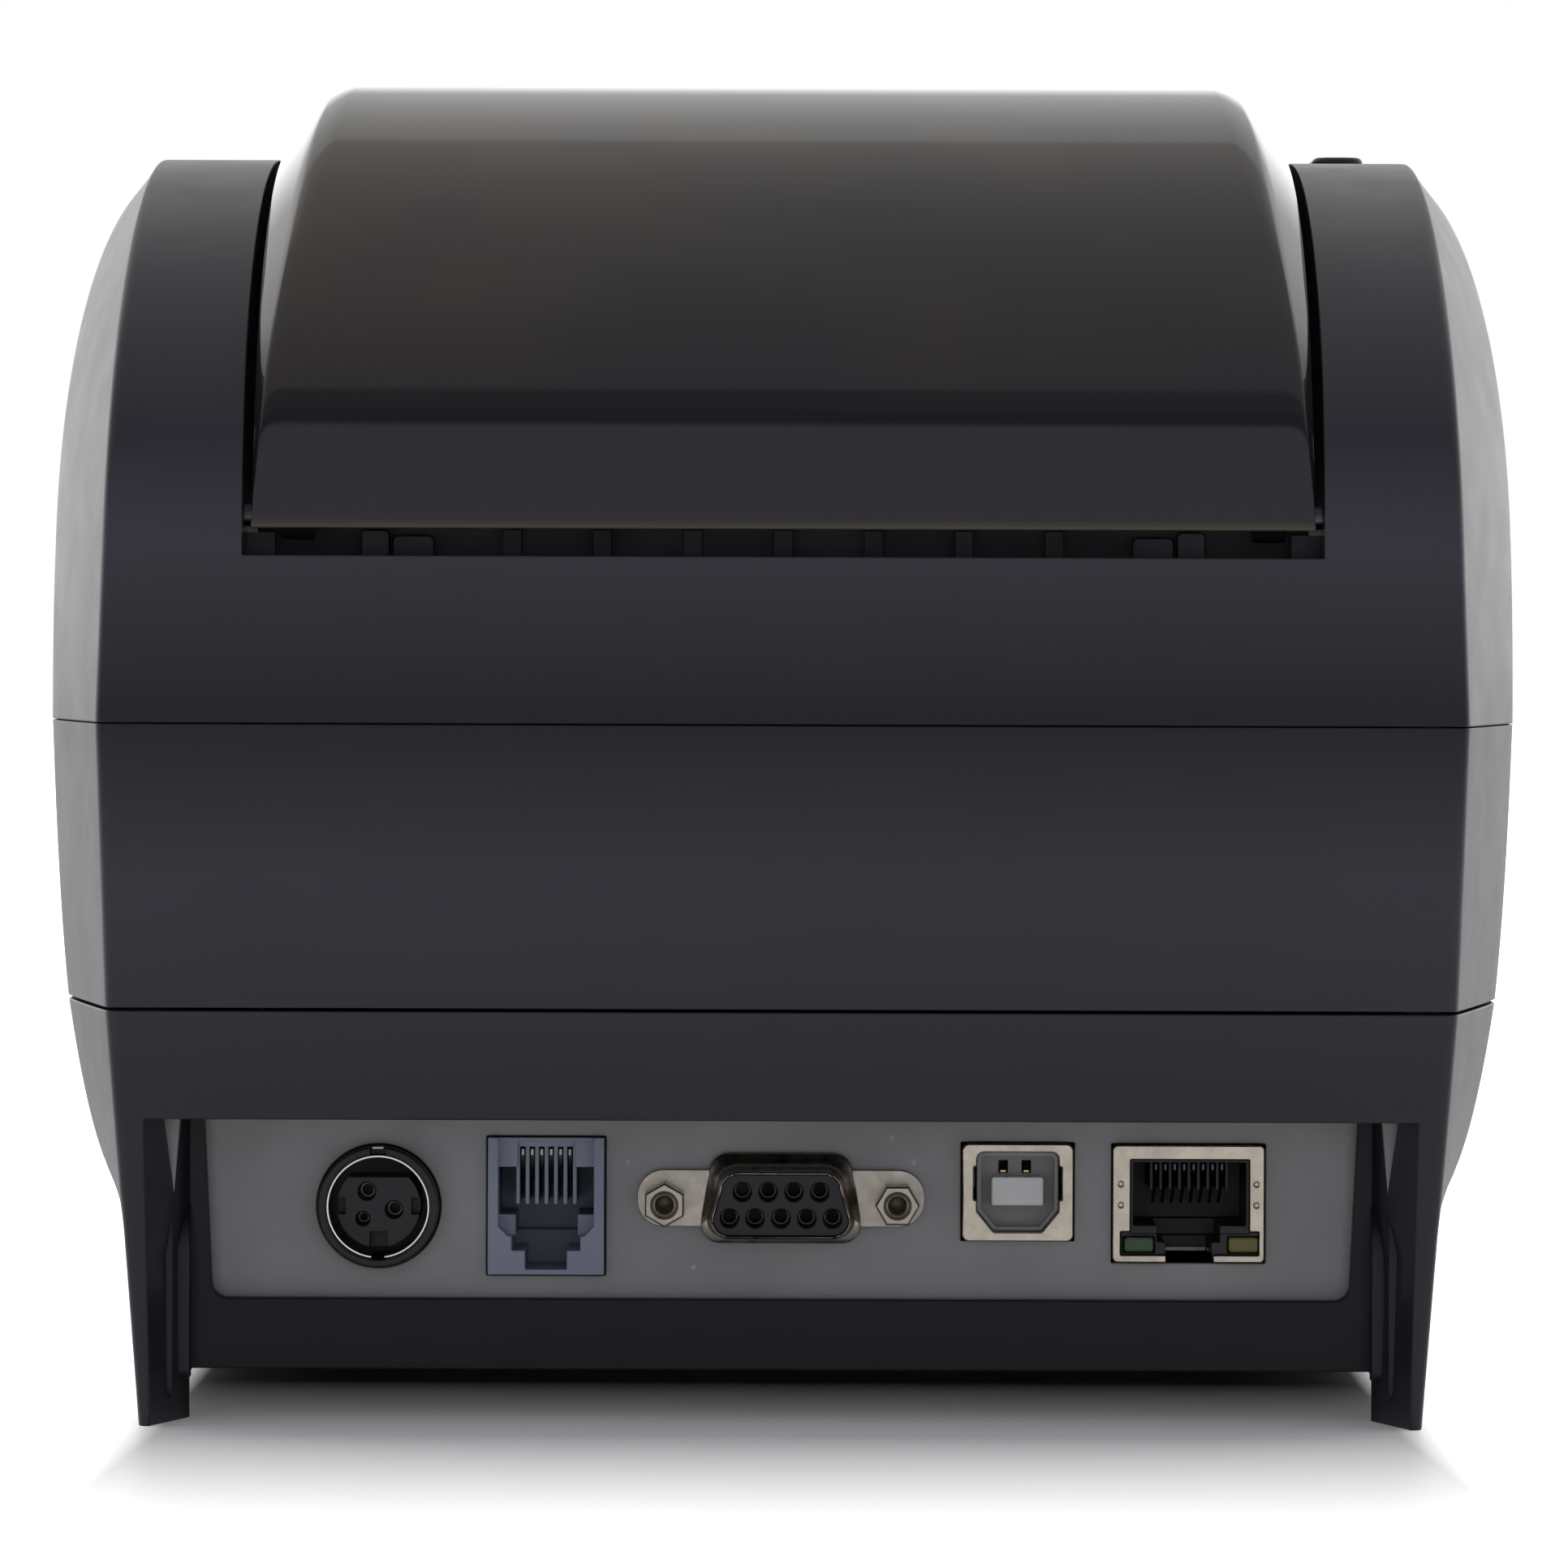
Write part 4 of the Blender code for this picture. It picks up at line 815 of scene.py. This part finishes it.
def lid_stations(inset, steps=44):
    """Crease points (y, z), flank-edge points and crease half-widths, from the rear lip over to the front."""
    ends = (
        (DOME_REAR_Y, LID_LIP_Z, LID_REACH, LID_FLANK_REACH, 1, 0.0, 90.0),
        (LID_FRONT_Y, LID_FRONT_Z, LID_FRONT_REACH, LID_FRONT_FLANK_REACH, -1, 90.0, LID_FRONT_LIP_DEG),
    )
    stations = []
    for centre_y, base_z, reach, flank, toward, start, end in ends:
        for turn in [math.radians(degrees) for degrees in levels(start, end, steps)]:
            away, rise = toward * math.cos(turn), math.sin(turn)
            crease = (centre_y + (reach - inset) * away, base_z + (LID_TOP_Z - base_z - inset) * rise)
            swollen = flank + LID_FLANK_SWELL * min(1.0, 1.8 * rise)
            edge = (centre_y + (swollen - inset) * away, base_z + (LID_FLANK_TOP_Z - base_z) * rise)
            stations.append((crease, edge, lid_crease(turn)))
    return stations


def lid_side(station, inset):
    """Half of the lid's cross-section at a station: flank edge, rounded crease, top face."""
    crease, edge, crease_half = station
    base, top = LID_BASE_HALF - inset, crease_half - inset
    bend = (top + 0.25 * (base - top), *(c + 0.12 * (e - c) for c, e in zip(crease, edge)))
    flank = curve_through((base, *edge), tuple((a + b) / 2 for a, b in zip((base, *edge), bend)), bend, 5)
    return flank + curve_through(bend, (top, *crease), (top - 1.4, *crease), 6)[1:]


def lid_channel(inset, thickness):
    """An arched channel, its open side down: a lid skin at this inset from the lid's outside."""
    rings = []
    for outside, inside in zip(lid_stations(inset), lid_stations(inset + thickness)):
        upper, lower = lid_side(outside, inset), lid_side(inside, inset + thickness)
        flipped = [[(-x, y, z) for x, y, z in side[::-1]] for side in (upper, lower)]
        rings.append(upper + flipped[0] + [(-x, y, z) for x, y, z in lower] + lower[::-1])
    return loft(rings)


def make_lid():
    piece(
        "lid_window_skin", lid_channel(0.0, LID_SKIN), "smoke", "lid", "lid_window",
        bevel=0.35, segments=3, angle=50.0,
    )
    window = box((-44.0, -58.0, 60.0), (44.0, 86.0, 160.0))
    ears = [rod("X", HINGE, 2.6, side * 50.0, side * 53.6, 32) for side in (-1, 1)]
    bore = rod("X", HINGE, HINGE_PIN_R + 0.3, -60.0, 60.0)
    piece(
        "lid_frame_skin", lid_channel(LID_SKIN + 0.4, 3.0), "frame", "lid", "lid_frame",
        joins=ears, cuts=[window, bore], bevel=0.2, angle=50.0,
    )
# Rear plate and sockets. Their fronts face +Y; seen from there, +X is on the left.


def d_outline(half_width, half_height, middle_z=SOCKET_Z, radius=2.2, lean=0.9, steps=8):
    """The outline of a D-shaped shell: wide below, narrower above, corners rounded."""
    points = []
    for side, up, start in ((1, 1, 0.0), (-1, 1, 90.0), (-1, -1, 180.0), (1, -1, 270.0)):
        reach = half_width - radius - (0.0 if up < 0 else lean)
        middle = (side * reach, middle_z + up * (half_height - radius))
        points += arc(middle, radius, start, start + 90.0, steps)
    return points


def placed(x, bottom, points):
    """An outline drawn about a socket's middle and bottom, moved to its place."""
    return [(x + a, bottom + b) for a, b in points]


def make_rear_plate():
    """The painted plate, its holes a little larger than the sockets in them."""
    sheet = box((-66.6, PLATE_Y - 1.0, 11.8), (66.6, PLATE_Y, 36.0))
    low, high = PLATE_Y - 2.0, PLATE_Y + 1.0
    cuts = [rod("Y", (INLET_X, INLET_Z), 6.7, low, high, 64)]
    cuts.append(prism("Y", d_outline(8.6, 4.8, FLANGE_Z), low, high))
    for x, half, bottom, height in (
        (MODULAR_X, 6.42, MODULAR_Z, 14.75),
        (USB_X, 6.12, USB_Z + 0.15, 10.4),
        (NET_X, 8.3, NET_Z + 0.15, 12.6),
    ):
        cuts.append(box((x - half, low, bottom - 0.15), (x + half, high, bottom + height + 0.15)))
    for side in (-1, 1):
        cuts.append(rod("Y", (side * JACKSCREW_X, FLANGE_Z), 1.8, low, high))
    piece("rear_plate_skin", sheet, "plate", replaces="rear_io_plate", cuts=cuts, bevel=0.12)
    for number, side in enumerate((-1, 1), 1):
        tongue = prism("Y", [(side * x, z - 0.3) for x, z in FLANGE_NOTCH], PLATE_Y, PLATE_Y + 7.0)
        piece(f"plate_tongue_{number}", tongue, "plate", bevel=0.05)


def make_power_inlet():
    """A round three-way inlet: black collar with a keyway, a split metal ring and a flat-topped insert."""
    centre = (INLET_X, INLET_Z)
    lip = [(6.2 + 0.35 * math.cos(a), 95.25 + 0.35 * math.sin(a)) for a in (0.0, 0.5, 1.0, math.pi / 2)]
    collar = turned("Y", centre, [(6.55, 78.0)] + lip, 96)
    keyway = box((INLET_X - 0.85, 93.4, INLET_Z + 5.2), (INLET_X + 0.85, 96.0, INLET_Z + 6.25))
    well = turned("Y", centre, [(5.6, 84.0), (5.6, 95.3), (5.9, 95.8)], 96)
    piece("inlet_collar", collar, "black", replaces="inlet_body", cuts=[well, keyway], bevel=0.05)
    tab = box((INLET_X - 0.6, 93.5, INLET_Z + 6.28), (INLET_X + 0.6, 95.75, INLET_Z + 6.5))
    piece("inlet_tab", tab, "nickel", bevel=0.04)
    ring_profile = [(5.54, 84.3), (5.54, 95.25), (5.34, 95.25), (5.34, 84.3)]
    split = box((INLET_X - 0.7, 80.0, INLET_Z - 6.0), (INLET_X + 0.7, 97.0, INLET_Z - 4.0))
    split_ring = turned("Y", centre, ring_profile, 96, wrap=True)
    piece("inlet_split_ring", split_ring, "silver", replaces="inlet_ring", cuts=[split], bevel=0.03)
    insert = arc(centre, 4.5, 136.4, 403.6, 60)
    cuts = [box((INLET_X - 0.95, 91.5, INLET_Z - 4.5), (INLET_X + 0.95, 96.0, INLET_Z - 2.75))]
    holes = ((1.26, 1.58, 0.88), (-1.66, -0.38, 0.88), (1.68, -1.37, 0.7))
    for number, (x, z, radius) in enumerate(holes, 1):
        hole = (INLET_X + x, INLET_Z + z)
        cuts.append(turned("Y", hole, [(radius, 87.0), (radius, 93.3), (radius + 0.2, 93.7)], 32))
        tube = [(radius - 0.05, 87.2), (radius - 0.05, 90.0), (radius - 0.3, 90.0), (radius - 0.3, 87.2)]
        piece(f"inlet_contact_{number}", turned("Y", hole, tube, 24, wrap=True), "dark_steel", bevel=0.03)
    for side in (-1, 1):
        x = INLET_X + side * 4.1
        cuts.append(box((x - 0.55, 91.0, INLET_Z - 0.9), (x + 0.55, 96.0, INLET_Z + 0.9)))
    core = prism("Y", insert, 84.3, 93.6)
    piece("inlet_insert", core, "black", replaces="inlet_core", cuts=cuts, bevel=0.04)


def make_modular_socket():
    """A six-way modular socket with a comb between its sprung wires and a stepped latch opening."""
    x, bottom, top = MODULAR_X, MODULAR_Z, MODULAR_Z + 14.75
    mouth = [(-5.15, 14.3), (-5.15, 5.2), (-4.1, 4.15), (4.1, 4.15), (5.15, 5.2), (5.15, 14.3)]
    latch = [(-3.7, 4.3), (-3.7, 2.6), (-2.25, 2.6), (-2.25, 0.57)]
    latch += [(-a, b) for a, b in reversed(latch)]
    cuts = [
        prism("Y", placed(x, bottom, mouth), 80.0, 96.0),
        prism("Y", placed(x, bottom, latch), 82.0, 96.0),
        box((x - 5.15, 93.6, bottom + 14.2), (x + 5.15, 96.0, top + 1.0)),
    ]
    extras = [box((x - 3.1, 79.5, bottom + 13.7), (x + 3.1, 92.6, bottom + 14.45))]
    for side in (-1, 1):
        for near, far, low, high, front in ((3.1, 5.2, 11.55, 14.4, 93.2), (3.35, 5.25, 4.0, 6.3, 91.0)):
            a, b = sorted((x + side * near, x + side * far))
            extras.append(box((a, 79.5, bottom + low), (b, front, bottom + high)))
    for i in range(7):
        middle = x + 1.02 * (i - 3)
        extras.append(box((middle - 0.21, 79.5, bottom + 7.5), (middle + 0.21, 92.4, bottom + 13.8)))
    body = box((x - 6.27, 77.0, bottom), (x + 6.27, 94.4, top))
    piece(
        "modular_housing", body, "blue_grey", replaces="modular_socket",
        cuts=cuts, extras=extras, bevel=0.1,
    )
    wires = []
    for i in range(6):
        place = x + 1.02 * (i - 2.5)
        path = [(92.2, 13.4), (92.3, 12.9), (91.4, 11.9), (87.0, 9.4), (83.0, 7.8)]
        wires.append(sweep([(place, y, bottom + b) for y, b in path], 0.2))
    piece("modular_wires", merged(wires), "nickel", bevel=0.0)


def make_serial_socket():
    """A nine-way D socket: a drawn shell with a rounded lip, an insert with sleeves, and two jackscrews."""
    flange = prism("Y", round_box((0.0, FLANGE_Z), (15.45, 3.07), 2.8, 10), PLATE_Y + 0.3, PLATE_Y + 1.1)
    steps = (
        (8.65, 4.85, 93.3, 0.0), (8.65, 4.85, 94.1, 0.0), (8.45, 4.65, 94.35, 0.0), (7.95, 4.1, 94.7, 0.1),
        (7.65, 3.8, 95.6, 0.5), (7.55, 3.68, 98.6, 0.5), (7.5, 3.62, 98.85, 0.5), (7.4, 3.5, 99.0, 0.5),
    )
    outlines = [(y, d_outline(w, h, FLANGE_Z - drop, 2.1)) for w, h, y, drop in steps]
    shell = loft([[along("Y", point, y) for point in outline] for y, outline in outlines])
    can = prism("Y", d_outline(8.3, 4.5, FLANGE_Z), 86.0, 93.6)
    ends = ((7.35, 85.0), (7.35, 98.8), (7.4, 99.2))
    bore = loft([[along("Y", p, y) for p in d_outline(w, w - 4.0, SOCKET_Z, 1.8)] for w, y in ends])
    cuts = [bore] + [rod("Y", (side * JACKSCREW_X, SOCKET_Z), 1.7, 90.0, 96.0) for side in (-1, 1)]
    piece(
        "serial_shell_skin", flange, "dull_nickel", replaces="serial_shell",
        joins=[shell, can], cuts=cuts, bevel=0.08,
    )
    holes = []
    sleeves = []
    for count, rise in ((4, 1.42), (5, -1.42)):
        for i in range(count):
            centre = ((i - (count - 1) / 2) * 2.77, SOCKET_Z + rise)
            holes.append(turned("Y", centre, [(0.93, 90.0), (0.93, 98.0), (1.08, 98.3)], 24))
            sleeve = [(0.9, 90.1), (0.9, 94.2), (0.7, 94.2), (0.7, 90.1)]
            sleeves.append(turned("Y", centre, sleeve, 20, wrap=True))
    core = prism("Y", d_outline(7.3, 3.3, SOCKET_Z, 1.7), 82.0, 98.3)
    piece("serial_insert", core, "black", replaces="serial_core", cuts=holes, bevel=0.1)
    piece("serial_sleeves", merged(sleeves), "dark_steel", bevel=0.03)
    for number, side in enumerate((-1, 1), 1):
        make_jackscrew(number, side, 0.0 if side < 0 else math.pi / 2)


def make_jackscrew(number, side, turn):
    """A hexagonal jackscrew with a chamfered front and a threaded bore."""
    centre = (side * JACKSCREW_X, SOCKET_Z)
    steps = ((2.4, 94.4), (2.4, 98.7), (2.2, 99.0))
    nut = loft([[along("Y", point, y) for point in circle(centre, radius, 6, turn)] for radius, y in steps])
    thread = [(0.1, 94.8), (1.0, 95.6)]
    for i in range(8):
        thread += [(1.2, 95.75 + 0.34 * i), (1.0, 95.92 + 0.34 * i)]
    thread += [(1.2, 98.45), (1.5, 98.9), (1.55, 99.5)]
    shank = rod("Y", centre, 1.3, 87.0, 95.0)
    piece(
        f"jackscrew_{number}_fine", nut, "dull_nickel", replaces=f"jackscrew_{number}",
        joins=[shank], cuts=[turned("Y", centre, thread, 32)], bevel=0.05,
    )


def make_usb_socket():
    """A square USB socket: shell, grey liner set back in it, pale tongue with contact slots above."""
    x = USB_X
    shell = prism("Y", round_box((x, 24.4), (5.95, 5.25), 0.7), 79.0, 94.2)
    mouths = []
    for inset in (0.0, 0.06, 0.5):
        side, corner = 4.45 - inset, 0.8 - 0.5 * inset
        low = [(-side, 22.4 + 0.4 * inset), (-2.6 + 0.4 * inset, 20.15 + inset)]
        upper = arc((side - corner, 28.75 - inset - corner), corner, 0.0, 90.0, 6)
        outline = [(-a, b) for a, b in reversed(upper)]
        mouths.append([(x + a, b) for a, b in low + [(-a, b) for a, b in reversed(low)] + upper + outline])
    cuts = [prism("Y", mouths[0], 80.0, 96.0)]
    cuts += [box((x + s * 4.55 - 0.25, 80.0, 23.6), (x + s * 4.55 + 0.25, 96.0, 27.2)) for s in (-1, 1)]
    piece("usb_shell_skin", shell, "nickel", replaces="usb_shell", cuts=cuts, bevel=0.14)
    liner_cuts = [prism("Y", mouths[2], 90.2, 96.0)]
    for a in (1.5, -1.0):
        liner_cuts.append(box((x + a - 0.5, 81.5, 26.3), (x + a + 0.5, 91.0, 27.7)))
    piece("usb_liner", prism("Y", mouths[1], 81.0, 92.6), "mid_grey", cuts=liner_cuts, bevel=0.08)
    slivers = [box((x + a - 0.3, 82.0, 26.35), (x + a + 0.3, 89.6, 26.6)) for a in (1.5, -1.0)]
    piece("usb_contacts", merged(slivers), "gold", bevel=0.03)
    grooves = [box((x + a - 0.3, 85.0, 25.6), (x + a + 0.3, 92.0, 26.2)) for a in (-1.2, 1.2)]
    tongue = box((x - 2.8, 82.0, 22.9), (x + 2.8, 92.4, 25.97))
    piece("usb_tongue_fine", tongue, "pale_grey", replaces="usb_tongue", cuts=grooves, bevel=0.2)


def make_network_socket():
    """An eight-way network socket: metal shell, black core with wires, two lens-fronted lamps."""
    x = NET_X
    shell = prism("Y", round_box((x, 23.25), (8.15, 6.3), 0.5), 75.0, 94.4)
    cuts = [
        box((x - 6.58, 76.0, 20.2), (x + 6.32, 96.0, 28.05)),
        box((x - 7.6, 76.0, 17.72), (x + 7.36, 96.0, 20.27)),
        box((x - 2.68, 76.0, 16.0), (x + 2.44, 96.0, 18.0)),
    ]
    for side in (-1, 1):
        for z in (25.38, 23.12):
            cuts.append(rod("Y", (x + side * 7.3, z), 0.28, 94.15, 95.0, 16))
    piece("network_shell_skin", shell, "nickel", replaces="network_shell", cuts=cuts, bevel=0.12)
    body = box((x - 7.55, 76.3, 17.76), (x + 7.3, 93.6, 20.23))
    upper = box((x - 6.54, 76.3, 20.0), (x + 6.28, 93.8, 28.0))
    core_cuts = [
        box((x - 6.2, 79.0, 20.9), (x + 5.95, 96.0, 27.7)),
        box((x - 3.4, 80.0, 19.1), (x + 3.4, 96.0, 21.1)),
        box((x - 2.5, 81.0, 17.5), (x + 2.5, 96.0, 19.4)),
    ]
    lamps = (("yellow", -5.92), ("green", 5.35))
    core_cuts += [box((x + a - 1.72, 89.5, 17.95), (x + a + 1.72, 96.0, 19.72)) for name, a in lamps]
    extras = []
    for i in range(9):
        middle = x - 0.12 + 1.02 * (i - 4)
        extras.append(box((middle - 0.17, 78.5, 24.6), (middle + 0.17, 91.5, 27.9)))
    piece(
        "network_core_skin", upper, "black", replaces="network_core",
        joins=[body], cuts=core_cuts, extras=extras, bevel=0.08,
    )
    wires = []
    for i in range(8):
        place = x - 0.12 + 1.02 * (i - 3.5)
        path = [(91.6, 27.4), (91.7, 26.9), (90.6, 26.0), (86.5, 24.2), (82.0, 22.8)]
        wires.append(sweep([(place, y, z) for y, z in path], 0.18))
    piece("network_wires", merged(wires), "dark_steel", bevel=0.0)
    for name, a in lamps:
        outlines = [round_box((x + a, 18.84), (1.62 - d, 0.84 - d), 0.35) for d in (0.0, 0.0, 0.1, 0.32)]
        steps = zip((90.3, 93.75, 94.0, 94.1), outlines)
        lens = loft([[along("Y", point, y) for point in outline] for y, outline in steps])
        piece(f"network_lamp_{name}", lens, f"{name}_lens", replaces=f"network_lens_{name}", bevel=0.05)
# Slot, legs, feet, keys and springs


def body_of(node):
    return frame["nodes"][node]["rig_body"]


def make_slot_brackets():
    """The dark blocks on either side of the slot's ribs, and dark sheets at the slot's ends: painted shade
    over the light that shows through the gaps there.
    """
    for number, side in enumerate((-1, 1), 1):
        for near, far, top in ((37.5, 41.9, 94.9), (42.3, 45.3, 95.5)):
            x = side * (near + far) / 2
            outline = round_box((x, (88.0 + top) / 2), ((far - near) / 2, (top - 88.0) / 2), 0.6)
            piece(f"slot_block_{number}_{int(near)}", prism("Y", outline, 93.5, 96.4), "frame", bevel=0.12)
        # Painted shade: a dark sheet behind the gap at each end of the slot.
        ends = sorted((side * 54.5, side * (BAY_HALF - 0.02)))
        painted_shade_sheet = box((ends[0], 96.0, 88.0), (ends[1], 97.4, 95.2))
        piece(f"slot_painted_shade_{number}", painted_shade_sheet, "frame", bevel=0.0)


# Near and far sides, front and foot of each rib
LEG_RIBS = ((66.4, 68.2, 104.6, 1.2), (65.0, 66.5, 102.2, 2.6), (63.4, 65.1, 98.8, 4.4))


def make_leg_ribs():
    """Stepped ribs inside each rear leg, each ending higher than the last."""
    for number, side in enumerate((-1, 1), 1):
        for near, far, front, low in LEG_RIBS:
            foot = arc((front - 1.0, low + 1.0), 1.0, 270.0, 360.0, 6)
            outline = [(95.0, low)] + foot + [(front, 18.0), (front - 2.2, 22.6), (95.0, 23.4)]
            rib = prism("X", outline, *sorted((side * near, side * far)))
            piece(f"leg_rib_{number}_{int(near)}", rib, "case", bevel=0.15)


def make_feet():
    """Moulded rubber feet: a rounded tread with a shallow dish in it."""
    for number, side in enumerate((-1, 1), 1):
        profile = [(2.0, 0.9), (3.4, 0.7), (4.6, 0.0), (6.2, 0.0)]
        profile += [(6.75, 0.18), (7.0, 0.75), (7.0, 5.4), (6.5, 6.0)]
        foot = turned("Z", (side * 54.0, -78.0), profile, 64)
        piece(f"rubber_foot_{number}_fine", foot, "rubber", replaces=f"rubber_foot_{number}", bevel=0.0)


def key_cap(centre, low, top, crown):
    """A key's cap: straight sides, rounded shoulders and a gently crowned face."""
    steps = [(0.0, low), (0.0, top - crown)]
    steps += [(crown * (1.0 - math.cos(a)), top - crown + crown * math.sin(a)) for a in (0.3, 0.7, 1.1, 1.4)]
    steps += [(1.6, top - 0.01), (2.2, top)]
    rings = []
    for inset, z in steps:
        half = (KEY_HALF[0] - inset, KEY_HALF[1] - inset)
        rings.append([(x, y, z) for x, y in round_box(centre, half, max(0.4, KEY_CORNER - inset), 8)])
    return loft(rings)


def make_keys():
    stem = turned("Z", RELEASE_KEY, [(1.1, 82.0), (1.6, 82.6), (1.6, 133.0)], 32)
    cap = key_cap(RELEASE_KEY, 132.4, SHOULDER_Z + 2.4, 0.7)
    piece("release_key_fine", cap, "black", body_of("release_key"), "release_key", joins=[stem], bevel=0.0)
    stem = rod("Z", FEED_KEY, 1.6, 130.2, 134.0, 32)
    cap = key_cap(FEED_KEY, 133.0, SHOULDER_Z - 0.1, 0.6)
    piece("feed_key_fine", cap, "black", body_of("feed_key"), "feed_key", joins=[stem], bevel=0.0)
    for number, place in enumerate(LENS_Y, 1):
        profile = [(LENS_R, 130.0), (LENS_R, SHOULDER_Z - 0.7), (LENS_R - 0.25, SHOULDER_Z - 0.3)]
        profile += [(LENS_R - 0.8, SHOULDER_Z - 0.12), (0.15, SHOULDER_Z - 0.1)]
        lens = turned("Z", (FEED_KEY[0], place), profile, 40)
        piece(f"status_lens_{number}_fine", lens, "green_lens", replaces=f"status_lens_{number}", bevel=0.0)


def helix(centre, radius, low, high, turns, wire=0.35, steps=26):
    """The path of a coil spring that stands on Z, its end coils closed."""
    path = []
    count = turns * steps
    for i in range(count + 1):
        share = i / count
        closed = share - 0.045 * math.sin(math.tau * share)
        angle = math.tau * i / steps
        height = low + wire + (high - low - 2 * wire) * closed
        path.append((centre[0] + radius * math.cos(angle), centre[1] + radius * math.sin(angle), height))
    return path


def make_springs():
    for node, centre, radius, low, high, turns in (
        ("release_spring", RELEASE_KEY, 2.5, 117.9, 132.1, 5),
        ("head_spring_1", (-24.0, -86.0), 2.6, 104.3, 112.4, 4),
        ("head_spring_2", (24.0, -86.0), 2.6, 104.3, 112.4, 4),
    ):
        wire = sweep(helix(centre, radius, low, high, turns), 0.35, 12)
        piece(f"{node}_wire", wire, "steel", body_of(node), node, bevel=0.0)


# The pieces that keep the CAD's shape: finish, edge width

REFINED = {
    "drive_chassis": ("steel", 0.3),
    "head_bracket": ("steel", 0.3),
    "head_heat_sink": ("aluminium", 0.25),
    "print_head": ("pale_grey", 0.25),
    "hinge_pin_1": ("dark_steel", 0.25),
    "hinge_pin_2": ("dark_steel", 0.25),
    "main_board": ("board", 0.1),
    "key_board": ("board", 0.1),
    "platen_shaft": ("steel", 0.25),
    "platen_roller": ("rubber", 0.3),
    "platen_gear": ("white", 0.12),
    "platen_bush_1": ("white", 0.2),
    "platen_bush_2": ("white", 0.2),
    "idler_gear": ("white", 0.12),
    "idler_pin": ("steel", 0.2),
    "motor_pinion": ("brass", 0.1),
    "stepper_motor": ("dark_steel", 0.5),
    "paper_chute": ("tub", 0.3),
    "paper_sensor": ("black", 0.3),
    "paper_tub": ("tub", 0.1),
    "roll_guide_left": ("tub", 0.2),
    "roll_guide_right": ("tub", 0.2),
    "guide_pinion": ("white", 0.12),
    "latch_bar": ("steel", 0.25),
    "tear_bar": ("steel", 0.06),
    "switch_body": ("black", 0.15),
    "power_rocker": ("black", 0.3),
    "case_screw_1": ("steel", 0.2),
    "case_screw_2": ("steel", 0.2),
    "case_screw_3": ("steel", 0.2),
    "case_screw_4": ("steel", 0.2),
}
FINISHES = make_finishes()
make_camera()
make_world()
make_floor()
make_base_tray()
make_mid_band()
make_top_shell()
make_lid()
make_rear_plate()
make_power_inlet()
make_modular_socket()
make_serial_socket()
make_usb_socket()
make_network_socket()
make_slot_brackets()
make_leg_ribs()
make_feet()
make_keys()
make_springs()
for node, (material, width) in REFINED.items():
    refine(node, material, width)
